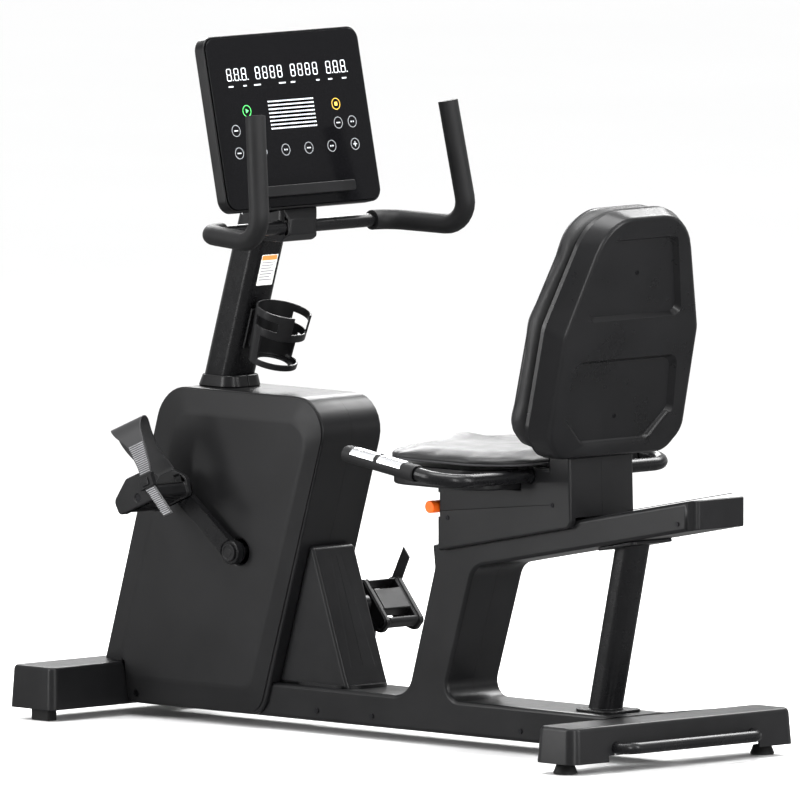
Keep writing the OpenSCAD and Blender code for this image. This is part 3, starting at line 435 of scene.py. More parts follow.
def plate(name, outline, depth, matrix, edge=0.0, steps=2):
    """A flat outline in local X and Y, extruded by depth along local Z, with softened edges."""
    none()
    bpy.ops.mesh.primitive_circle_add(vertices=len(outline), radius=1, fill_type='NGON')
    obj = named(name)
    for vertex, point in zip(obj.data.vertices, outline):
        vertex.co = (point[0], point[1], 0)
    only(obj)
    bpy.ops.object.mode_set(mode='EDIT')
    bpy.ops.mesh.select_all(action='SELECT')
    bpy.ops.mesh.extrude_region_move(TRANSFORM_OT_translate={"value": (0, 0, depth)})
    bpy.ops.mesh.select_all(action='SELECT')
    bpy.ops.mesh.normals_make_consistent(inside=False)
    bpy.ops.object.mode_set(mode='OBJECT')
    if edge:
        soften(obj, edge, steps, clamp=True)
    return placed(obj, matrix)


def rounded(points, radius, steps=6):
    """A closed outline with its corners rounded."""
    out = []
    count = len(points)
    for i in range(count):
        a, p, b = (Vector(points[(i + k) % count]) for k in (-1, 0, 1))
        r = radius[i] if isinstance(radius, (list, tuple)) else radius
        if r <= 0:
            out.append(tuple(p))
            continue
        u, v = (a - p).normalized(), (b - p).normalized()
        half = u.angle(v) / 2
        reach = r / math.tan(half)
        centre = p + (u + v).normalized() * r / math.sin(half)
        start, stop = p + u * reach - centre, p + v * reach - centre
        turn = math.atan2(start.x * stop.y - start.y * stop.x, start.dot(stop))
        base = math.atan2(start.y, start.x)
        angles = [base + turn * k / steps for k in range(steps + 1)]
        out += [(centre.x + r * math.cos(t), centre.y + r * math.sin(t)) for t in angles]
    return out


def carve(obj, cutter, solver='EXACT'):
    """Cuts one piece out of another and throws the cutter away."""
    modify(obj, 'BOOLEAN', operation='DIFFERENCE', object=cutter, solver=solver)
    bpy.data.objects.remove(cutter)
    return obj


def slit(obj, middle, size, slope):
    """Cuts a straight groove: a thin box about middle, turned by slope about Y."""
    none()
    bpy.ops.mesh.primitive_cube_add(size=1, location=middle)
    cutter = named("groove_cutter")
    cutter.scale = size
    cutter.rotation_euler = (0, -slope, 0)
    return carve(obj, settle(cutter))


def tube(name, points, radius, sides=10, closed=False, smooth=True):
    """A round bar along points, as a mesh."""
    data = bpy.data.curves.new(name, 'CURVE')
    data.dimensions = '3D'
    line = data.splines.new('NURBS' if smooth else 'POLY')
    line.points.add(len(points) - 1)
    for spot, point in zip(line.points, points):
        spot.co = (*point, 1)
    line.use_cyclic_u = closed
    if smooth:
        line.order_u = 4
        line.use_endpoint_u = not closed
        line.resolution_u = 4
    data.bevel_depth = radius
    data.bevel_resolution = max(1, sides // 4)
    data.use_fill_caps = not closed
    obj = bpy.data.objects.new(name, data)
    bpy.context.scene.collection.objects.link(obj)
    only(obj)
    bpy.ops.object.convert(target='MESH')
    obj = bpy.context.object
    obj.name = obj.data.name = name
    only(obj)
    bpy.ops.object.mode_set(mode='EDIT')
    bpy.ops.mesh.select_all(action='SELECT')
    bpy.ops.mesh.remove_doubles(threshold=0.00001)
    bpy.ops.mesh.normals_make_consistent(inside=False)
    bpy.ops.object.mode_set(mode='OBJECT')
    return obj


def joined(objects, name):
    """Several pieces as one object."""
    none()
    for obj in objects:
        obj.select_set(True)
    bpy.context.view_layer.objects.active = objects[0]
    bpy.ops.object.join()
    return named(name)


def turned(axis_x, axis_y, origin):
    """A matrix whose local X and Y point along the given directions."""
    x, y = Vector(axis_x).normalized(), Vector(axis_y).normalized()
    z = x.cross(y)
    return Matrix.Translation(origin) @ Matrix((x, y, z)).transposed().to_4x4()


def paint_node(node, material):
    """A CAD node whose shape is right gets its finish on its own slots."""
    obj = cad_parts[node]
    if not obj.material_slots:
        obj.data.materials.append(finishes[material])
    for spot in obj.material_slots:
        spot.link = 'OBJECT'
        spot.material = finishes[material]


def on_side(reach, tolerance=0.0006):
    """Edges that lie on the outer faces at y = +-reach."""
    return lambda middle, along: abs(abs(middle.y) - reach) < tolerance


# ---- covers ----
class BIKE_OT_frame_covers(bpy.types.Operator):
    """Long covers over the base, the seat upright and the rail, with rounded edges and a joint line"""
    bl_idname = "bike.frame_covers"
    bl_label = "Frame Covers"

    def execute(self, context):
        edge = sizes().cover_edge
        groove = sizes().groove
        for side, word in ((-1, "left"), (1, "right")):
            cover = cast(f"frame_cover_{word}", f"frame_skin_{word}")
            soften(cover, edge, 4, on_side(0.070))
            # Joint line along the rail, a quarter of the way down its side
            slit(cover, (0.455, side * 0.0706, 0.4515), (0.66, 0.0034, groove), RAIL_SLOPE)
            finish(cover, "cover", "frame", f"frame_cover_{word}")
        refine("rail_end_cap", "rail_end_skin", "cover", "frame", 0.0022, 3)
        return {'FINISHED'}


class BIKE_OT_shroud(bpy.types.Operator):
    """Two-part drive shroud with bevelled side panels and the brace cover behind it"""
    bl_idname = "bike.shroud"
    bl_label = "Drive Shroud"

    def execute(self, context):
        for word in ("left", "right"):
            refine(f"shroud_{word}", f"shroud_skin_{word}", "cover", "frame", 0.003, 3,
                   where=on_side(0.077))
            refine(f"side_panel_{word}", f"panel_skin_{word}", "panel", "frame",
                   sizes().panel_edge, 4, 8, 25, on_side(0.088))
        brace = cast("brace_cover", "brace_skin")
        soften(brace, 0.007, 4, on_side(0.055))
        # Two shallow valleys that open out toward the floor, and a hairline between them
        slope = BRACE_SLOPE.normalized()
        middle = BRACE_FACE + Vector((-slope.z, 0, slope.x)) * 0.0132
        for side in (-1, 1):
            line = [middle + slope * reach + Vector((0, side * y, 0))
                    for reach, y in ((-0.112, 0.012), (0.112, 0.029))]
            carve(brace, tube("valley_cutter", line, 0.014, sides=36, smooth=False))
        slit(brace, BRACE_FACE, (0.0016, 0.0007, 0.215), math.atan2(BRACE_SLOPE.x, -BRACE_SLOPE.z))
        finish(brace, "cover", "frame", "brace_cover")
        refine("mast_collar", "mast_collar_skin", "cover", "frame", 0.0025, 3)
        return {'FINISHED'}


class BIKE_OT_stabilizers(bpy.types.Operator):
    """Front and rear stabilizer covers, lift handle, feet and transport wheels"""
    bl_idname = "bike.stabilizers"
    bl_label = "Stabilizers"

    def execute(self, context):
        for word in ("front", "rear"):
            refine(f"{word}_stabilizer_cover", f"{word}_stabilizer_skin", "cover", "frame",
                   0.0025, 3, smooth=40, where=lambda middle, along: middle.z > 0.080)
        refine("lift_handle", "lift_handle_bar", "paint", "frame", smooth=50)
        for word in ("left", "right"):
            refine(f"rear_foot_{word}", f"foot_{word}", "rubber", f"{word}_foot",
                   0.0012, 2, 40)
            refine(f"transport_wheel_{word}", f"wheel_{word}", "rubber", f"{word}_wheel",
                   0.002, 3, 40)
        refine("front_feet", "front_feet_pads", "rubber", "frame", 0.0015, 2, 40)
        return {'FINISHED'}


# ---- tubes and posts ----
class BIKE_OT_tubes(bpy.types.Operator):
    """Mast, rear post, handlebars and grips"""
    bl_idname = "bike.tubes"
    bl_label = "Tubes and Grips"

    def execute(self, context):
        refine("mast", "mast_tube", "paint", "frame")
        refine("rear_post", "rear_post_tube", "paint", "frame", 0.0012, 2, 50, 40)
        refine("handlebar", "handlebar_tube", "paint", "frame", smooth=50)
        refine("seat_handlebar", "seat_handlebar_tube", "paint", "seat", smooth=50)
        refine("handlebar_grips", "handlebar_foam", "foam", "frame", 0.0008, 2, 50, 45)
        refine("seat_grips", "seat_foam", "foam", "seat", 0.002, 3, 50, 45)
        self.pulse_plates()
        refine("cup_holder", "cup_holder_skin", "cover", "frame", 0.0009, 2, 40, 40)
        refine("clamp_cover", "clamp_skin", "cover", "frame", 0.0016, 3, 40, 40)
        return {'FINISHED'}

    def pulse_plates(self):
        """Two bright contact plates wrapped over each seat grip."""
        start, stop = Vector((0.130, 0, 0.568)), Vector((0.398, 0, 0.530))
        run = (stop - start).normalized()
        half = rounded([(-0.018, -0.0155), (0.018, -0.0155), (0.018, 0.0155), (-0.018, 0.0155)], 0.014, 8)
        wrap = [p for p in half if p[1] > 0.002]
        wrap.sort(key=lambda p: -p[0])
        lean = [Vector(p).normalized() for p in wrap]
        outer = [(p[0] + 0.0009 * n.x, p[1] + 0.0009 * n.y) for p, n in zip(wrap, lean)]
        inner = [(p[0] + 0.0001 * n.x, p[1] + 0.0001 * n.y) for p, n in zip(wrap, lean)]
        plates = []
        for side in (-1, 1):
            for k, (first, length) in enumerate(((0.022, 0.062), (0.094, 0.062))):
                spot = start + run * first + Vector((0, side * 0.299, 0))
                across = Vector((0, 1, 0))
                up = run.cross(across)
                if up.z < 0:
                    up = -up
                matrix = turned(across, up, spot)
                depth = length if across.cross(up).dot(run) > 0 else -length
                plates.append(plate(f"pulse_{side}_{k}", outer + inner[::-1], depth, matrix))
        strip = joined(plates, "pulse_plates")
        outward(strip)
        finish(strip, "pulse", "seat")


# ---- console ----
class BIKE_OT_console(bpy.types.Operator):
    """Console housing, acrylic face, number display, dot panel and touch keys"""
    bl_idname = "bike.console"
    bl_label = "Console"

    def execute(self, context):
        refine("console_shell", "console_housing", "cover", "frame", 0.0016, 3, 20, 40)
        refine("console_glass", "console_face", "glass", "frame", 0.0008, 2, 50, 40)
        refine("console_ledge", "console_shelf", "cover", "frame", 0.0012, 3, 50)
        up = Vector((-math.sin(CONSOLE_TILT), 0, math.cos(CONSOLE_TILT)))
        across = Vector((0, 1, 0))
        out = across.cross(up)
        self.face = turned(across, up, CONSOLE_BASE + out * 0.00015)
        self.digits()
        self.marks()
        self.dots()
        self.keys()
        return {'FINISHED'}

    def at(self, y, v):
        return self.face @ Matrix.Translation((y / 1000, v / 1000, 0))

    def show(self, parts, name, material):
        finish(joined(parts, name), material, "frame")

    def digits(self):
        """Seven bars to a digit, in groups of three, four, four and three."""
        tall, wide, bar = sizes().digit_height, 0.0118, 0.0013
        h, w, g = tall / 2, wide / 2, 0.0006

        def lying(y):
            return [(-w + g + bar / 2, y), (-w + g + bar, y + bar / 2), (w - g - bar, y + bar / 2),
                    (w - g - bar / 2, y), (w - g - bar, y - bar / 2), (-w + g + bar, y - bar / 2)][::-1]

        def upright(x, low, high):
            return [(x, low + g), (x + bar / 2, low + g + bar / 2), (x + bar / 2, high - g - bar / 2),
                    (x, high - g), (x - bar / 2, high - g - bar / 2), (x - bar / 2, low + g + bar / 2)]
        bars = [lying(-h + bar / 2), lying(0), lying(h - bar / 2)]
        bars += [upright(x, low, high) for x in (-w + bar / 2, w - bar / 2)
                 for low, high in ((-h + bar / 2, 0), (0, h - bar / 2))]
        model = [plate("bar", outline, 0.00025, Matrix.Identity(4)) for outline in bars]
        digit = joined(model, "digit")
        places = []
        for first, count in ((-151, 3), (-75.4, 4), (18, 4), (112, 3)):
            places += [first + 19.5 * k for k in range(count)]
        copies = []
        for y in places:
            twin = bpy.data.objects.new("digit_copy", digit.data.copy())
            bpy.context.scene.collection.objects.link(twin)
            copies.append(placed(twin, self.at(y, 260.5)))
        for y in (-141.3, -121.8, -102.3, 121.8, 141.2, 160.7):
            copies.append(plate("point", rounded([(-0.001, -0.001), (0.001, -0.001), (0.001, 0.001),
                                                  (-0.001, 0.001)], 0.0006, 3), 0.00025, self.at(y, 249.8)))
        bpy.data.objects.remove(digit)
        self.show(copies, "display_digits", "white")

    def marks(self):
        """Small lit dashes under the numbers, where the readings are named."""
        parts = []
        for y, wide in ((-150, 13), (-113, 9), (-80, 18), (-14, 18), (14, 12), (80, 9), (113, 11), (150, 12)):
            w = wide / 2000
            parts.append(plate("dash", rounded([(-w, -0.0014), (w, -0.0014), (w, 0.0014), (-w, 0.0014)],
                                               0.0008, 2), 0.0002, self.at(y, 238)))
        self.show(parts, "display_marks", "grey")

    def dots(self):
        """The lit dot panel: eight rows of twenty-six."""
        dot = plate("dot_panel", rounded([(-0.0011, -0.0015), (0.0011, -0.0015), (0.0011, 0.0015),
                                          (-0.0011, 0.0015)], 0.0006, 1), 0.0002, Matrix.Identity(4))
        modify(dot, 'ARRAY', count=26, use_relative_offset=False, use_constant_offset=True,
               constant_offset_displace=(0.0047, 0, 0))
        modify(dot, 'ARRAY', count=8, use_relative_offset=False, use_constant_offset=True,
               constant_offset_displace=(0, 0.0074, 0))
        placed(dot, self.at(-58.8, 152.5))
        finish(dot, "white", "frame")

    def ring(self, radius, thick, y, v):
        none()
        bpy.ops.mesh.primitive_circle_add(vertices=40, radius=radius, fill_type='NGON')
        obj = named("ring")
        only(obj)
        bpy.ops.object.mode_set(mode='EDIT')
        bpy.ops.mesh.select_all(action='SELECT')
        bpy.ops.mesh.inset(thickness=thick)
        bpy.ops.mesh.delete(type='FACE')
        bpy.ops.mesh.select_all(action='SELECT')
        bpy.ops.mesh.extrude_region_move(TRANSFORM_OT_translate={"value": (0, 0, 0.0002)})
        bpy.ops.mesh.select_all(action='SELECT')
        bpy.ops.mesh.normals_make_consistent(inside=False)
        bpy.ops.object.mode_set(mode='OBJECT')
        return placed(obj, self.at(y, v))

    def sign(self, kind, y, v):
        """A plain mark inside a key: a bar, a cross, a triangle or two dots."""
        shapes = {
            "bar": [[(-0.0050, -0.0010), (0.0050, -0.0010), (0.0050, 0.0010), (-0.0050, 0.0010)]],
            "plus": [[(-0.0050, -0.0009), (0.0050, -0.0009), (0.0050, 0.0009), (-0.0050, 0.0009)],
                     [(-0.0009, 0.0011), (0.0009, 0.0011), (0.0009, 0.0050), (-0.0009, 0.0050)],
                     [(-0.0009, -0.0050), (0.0009, -0.0050), (0.0009, -0.0011), (-0.0009, -0.0011)]],
            "play": [[(-0.0026, -0.0042), (0.0044, 0.0), (-0.0026, 0.0042)]],
            "stop": [[(-0.0034, -0.0034), (0.0034, -0.0034), (0.0034, 0.0034), (-0.0034, 0.0034)]],
            "dots": [[(-0.0042, -0.0014), (-0.0014, -0.0014), (-0.0014, 0.0014), (-0.0042, 0.0014)],
                     [(0.0014, -0.0014), (0.0042, -0.0014), (0.0042, 0.0014), (0.0014, 0.0014)]],
        }
        return [plate("sign", outline, 0.0002, self.at(y, v)) for outline in shapes[kind]]

    def keys(self):
        self.show([self.ring(0.011, 0.0009, -118, 190)] + self.sign("play", -118, 190), "start_key", "green")
        self.show([self.ring(0.011, 0.0009, 118, 190)] + self.sign("stop", 118, 190), "stop_key", "yellow")
        parts = []
        for y, v, kind in ((-154, 154, "bar"), (-117, 154, "dots"), (117, 154, "bar"), (154, 154, "dots"),
                           (-154, 111, "bar"), (-92, 111, "dots"), (-31, 111, "dots"), (30, 111, "bar"),
                           (91, 111, "dots"), (153, 111, "plus")):
            parts += [self.ring(0.011, 0.0006, y, v)] + self.sign(kind, y, v)
        self.show(parts, "touch_keys", "grey")


def back_place():
    """From the backrest's own axes (out of its back, across, up) to its place on the bike."""
    return Matrix.Translation(BACK_BASE) @ Matrix.Rotation(BACK_LEAN, 4, 'Y')


# ---- cushions ----
def inflate(pad, held):
    """Fills the pad with air pressure while the vertices that held(point) picks stay put."""
    grip = pad.vertex_groups.new(name="held")
    grip.add([v.index for v in pad.data.vertices if held(v.co)], 1.0, 'REPLACE')
    rest = [v.co.copy() for v in pad.data.vertices]
    only(pad)
    bpy.ops.object.modifier_add(type='CLOTH')
    cloth = pad.modifiers[-1]
    cloth.settings.quality = 5
    cloth.settings.mass = 0.3
    cloth.settings.tension_stiffness = 12
    cloth.settings.compression_stiffness = 12
    cloth.settings.shear_stiffness = 6
    cloth.settings.bending_stiffness = 1.5
    cloth.settings.use_pressure = True
    cloth.settings.uniform_pressure_force = sizes().pad_pressure
    cloth.settings.effector_weights.gravity = 0
    cloth.settings.vertex_group_mass = "held"
    cloth.collision_settings.use_self_collision = False
    cloth.point_cache.frame_start = 1
    cloth.point_cache.frame_end = 20
    scene = bpy.context.scene
    for step in range(1, 21):
        scene.frame_set(step)
    bpy.ops.object.modifier_apply(modifier=cloth.name)
    scene.frame_set(1)
    limit = sizes().pad_swell
    for vertex, start in zip(pad.data.vertices, rest):
        move = vertex.co - start
        if move.length > limit:
            vertex.co = start + move * (limit / move.length)
    pad.vertex_groups.clear()


def stuffed(node, name, roll, voxel, sink, held, smoothing):
    """A cushion from its CAD solid: rolled edges, an even skin, air pressure, one subdivision."""
    pad = cast(node, name)
    soften(pad, roll, 6, angle=45)
    modify(pad, 'DISPLACE', strength=-sink, mid_level=0.0)
    modify(pad, 'REMESH', mode='VOXEL', voxel_size=voxel)
    modify(pad, 'SMOOTH', factor=0.5, iterations=6)
    inflate(pad, held)
    modify(pad, 'SMOOTH', factor=0.5, iterations=smoothing)
    modify(pad, 'SUBSURF', levels=1, render_levels=1)
    return pad


def skin_line(pad, path, centre, radius, name, sink=0.3):
    """A cord of thread or piping that lies on the pad where rays from the path to the centre meet it."""
    tree = BVHTree.FromObject(pad, bpy.context.evaluated_depsgraph_get())
    points = []
    for point, aim in zip(path, centre):
        hit, normal = tree.ray_cast(point, (aim - point).normalized())[:2]
        if hit is not None:
            points.append(hit + normal * radius * sink)
    return tube(name, points, radius, sides=8, closed=True)


class BIKE_OT_cushions(bpy.types.Operator):
    """Seat and back cushions, filled with foam, with piping round them"""
    bl_idname = "bike.cushions"
    bl_label = "Cushions"

    def execute(self, context):
        low, high = (Vector(corner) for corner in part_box("seat_cushion"))
        seat = stuffed("seat_cushion", "seat_pad", 0.013, 0.005, 0.006,
                       lambda point: point.z < low.z + 0.011, 22)
        # Low pommel at the middle of the front edge
        for vertex in seat.data.vertices:
            if vertex.co.z > (low.z + high.z) / 2:
                reach = math.exp(-(vertex.co.y / 0.042) ** 2 - ((vertex.co.x - 0.135) / 0.055) ** 2)
                vertex.co.z += 0.011 * reach
        finish(seat, "vinyl", "seat", "seat_cushion", angle=80)
        ring = self.outline(rounded([(0.085, -0.205), (0.432, -0.205), (0.432, 0.205), (0.085, 0.205)],
                                    [0.09, 0.11, 0.11, 0.09], 14), 1.25, (0.2585, 0.0))
        middle = Vector((0.2585, 0, low.z + 0.010))
        piping = skin_line(seat, [Vector((x, y, middle.z)) for x, y in ring], [middle] * len(ring),
                           0.0022, "seat_piping")
        finish(piping, "seam", "seat", angle=80)

        lean = back_place()
        home = lean.inverted()
        back = stuffed("backrest_cushion", "back_pad", 0.026, 0.0055, 0.006,
                       lambda point: (home @ point).x > -0.056, 26)
        finish(back, "vinyl", "seat", "backrest_cushion", angle=80)
        seam = rounded([(-0.150, 0), (0.150, 0), (0.199, 0.045), (0.197, 0.258), (0.120, 0.478),
                        (-0.120, 0.478), (-0.197, 0.258), (-0.199, 0.045)],
                       [0.05, 0.05, 0.05, 0.06, 0.1, 0.1, 0.06, 0.05], 8)
        for k, depth in enumerate((-0.052, -0.090)):
            path = [lean @ Vector((depth, y * 1.25, 0.235 + (z - 0.235) * 1.25)) for y, z in seam]
            aim = [lean @ Vector((depth, y * 0.2, 0.235 + (z - 0.235) * 0.2)) for y, z in seam]
            line = skin_line(back, path, aim, (0.0024, 0.0014)[k], f"back_piping_{k}")
            finish(line, "seam", "seat", angle=80)
        return {'FINISHED'}

    def outline(self, points, k, centre):
        return [(centre[0] + (x - centre[0]) * k, centre[1] + (y - centre[1]) * k) for x, y in points]


class BIKE_OT_back_shell(bpy.types.Operator):
    """Hard back of the backrest with its two stepped recesses and screws"""
    bl_idname = "bike.back_shell"
    bl_label = "Backrest Shell"

    def execute(self, context):
        lean = back_place()
        shell = cast("backrest_shell", "back_moulding")
        upper = [(-0.128, 0.272), (0.128, 0.272), (0.084, 0.434), (-0.084, 0.434)]
        lower = [(-0.090, 0.030), (0.090, 0.030), (0.146, 0.088), (0.134, 0.198), (-0.134, 0.198),
                 (-0.146, 0.088)]
        home = lean.inverted()
        soften(shell, 0.0075, 7, lambda middle, along: (home @ middle).x > -0.0008, angle=25)
        for outline, radius in ((upper, 0.016), (lower, 0.022)):
            self.recess(shell, rounded(outline, radius, 5), lean)
        rims = [[Vector((y, z)) for y, z in rounded(outline, radius, 5)]
                for outline, radius in ((upper, 0.016), (lower, 0.022))]

        def on_rim(middle, along):
            spot = home @ middle
            if spot.x < -0.0006:
                return False
            spot = Vector((spot.y, spot.z))
            for rim in rims:
                for a, b in zip(rim, rim[1:] + rim[:1]):
                    k = max(0, min(1, (spot - a).dot(b - a) / max((b - a).length_squared, 1e-9)))
                    if (spot - a - (b - a) * k).length < 0.003:
                        return True
            return False
        soften(shell, 0.0025, 3, on_rim, angle=15)
        finish(shell, "shell", "seat", "backrest_shell", angle=20)
        heads = []
        for y, z, deep in ((0.0, 0.361, 0.0102), (0.0, 0.081, 0.0102)):
            heads.append(screw_head("back_screw", lean @ Vector((-deep, y, z)),
                                    lean.to_3x3() @ Vector((1, 0, 0)), 0.0045))
        finish(joined(heads, "back_screws"), "screw", "seat", angle=30)
        return {'FINISHED'}

    def recess(self, shell, outline, lean):
        """Sinks a flat-bottomed recess with sloping sides into the back."""
        floor = [(y, z) for y, z in outline]
        none()
        bpy.ops.mesh.primitive_circle_add(vertices=len(floor), radius=1, fill_type='NGON')
        cutter = named("recess_cutter")
        for vertex, (y, z) in zip(cutter.data.vertices, floor):
            vertex.co = (0.0015, y, z)
        only(cutter)
        bpy.ops.object.mode_set(mode='EDIT')
        bpy.ops.mesh.select_all(action='SELECT')
        bpy.ops.mesh.extrude_region_move(TRANSFORM_OT_translate={"value": (-0.0120, 0, 0)})
        middle_z = sum(z for y, z in floor) / len(floor)
        bpy.ops.transform.resize(value=(1, 0.925, 0.90), center_override=(0, 0, middle_z))
        bpy.ops.mesh.select_all(action='SELECT')
        bpy.ops.mesh.normals_make_consistent(inside=False)
        bpy.ops.object.mode_set(mode='OBJECT')
        placed(cutter, lean)
        carve(shell, cutter)


def screw_head(name, place, out, radius, depth=0.0016):
    """A domed screw head with a cross recess, facing along out."""
    none()
    bpy.ops.mesh.primitive_cylinder_add(vertices=24, radius=radius, depth=depth)
    obj = named(name)
    soften(obj, depth * 0.45, 2, angle=50, clamp=True)
    for turn in (0, math.pi / 2):
        none()
        bpy.ops.mesh.primitive_cube_add(size=1, location=(0, 0, depth / 2))
        cutter = named("cross_cutter")
        cutter.scale = (radius * 1.1, radius * 0.22, depth * 0.9)
        cutter.rotation_euler = (0, 0, turn)
        settle(cutter)
        carve(obj, cutter)
    return placed(obj, Matrix.Translation(place) @ Vector(out).to_track_quat('Z', 'Y').to_matrix().to_4x4())


# ---- seat carriage ----
class BIKE_OT_carriage(bpy.types.Operator):
    """Seat carriage covers with their joint line, the seat pan, the lever knob and screws"""
    bl_idname = "bike.carriage"
    bl_label = "Seat Carriage"

    def execute(self, context):
        for side, word in ((-1, "left"), (1, "right")):
            cover = cast(f"carriage_cover_{word}", f"carriage_skin_{word}")
            soften(cover, 0.005, 4, on_side(0.085))
            slit(cover, (0.300, side * 0.0856, 0.4625), (0.312, 0.0034, sizes().groove), math.radians(6))
            finish(cover, "cover", "seat", f"carriage_cover_{word}")
        refine("seat_pan", "seat_pan_skin", "cover", "seat", 0.004, 4, 50)
        refine("release_lever", "seat_lever_knob", "knob", "seat_lever", 0.0025, 3, 60, 40)
        heads = []
        for side in (-1, 1):
            for x, z in ((0.179, 0.436), (0.458, 0.478)):
                heads.append(screw_head("carriage_screw", Vector((x, side * 0.0856, z)),
                                        Vector((0, side, 0)), 0.0048))
        finish(joined(heads, "carriage_screws"), "screw", "seat", angle=30)
        return {'FINISHED'}


# ---- pedals ----
def pedal_matrix(side):
    """From a left pedal's own axes (toe to heel, across, up) to its place on the bike."""
    swing = Vector((-math.cos(CRANK_ANGLE), 0, math.sin(CRANK_ANGLE))) * CRANK_LEN
    centre = CRANK + swing if side < 0 else CRANK - swing
    matrix = (Matrix.Translation((centre.x, side * PEDAL_Y, centre.z))
              @ Matrix.Rotation(-PEDAL_PITCH[side], 4, 'Y'))
    return matrix if side < 0 else matrix @ Matrix.Scale(-1, 4, (0, 1, 0))


def curve_through(points, steps):
    """A smooth run through points of any length, by rows of numbers."""
    out = []
    rows = [points[0]] + list(points) + [points[-1]]
    for i in range(1, len(rows) - 2):
        a, b, c, d = rows[i - 1:i + 3]
        for k in range(steps):
            t = k / steps
            out.append([0.5 * (2 * q + (r - p) * t + (2 * p - 5 * q + 4 * r - s) * t * t
                               + (3 * q - p - 3 * r + s) * t ** 3) for p, q, r, s in zip(a, b, c, d)])
    out.append(list(points[-1]))
    return out


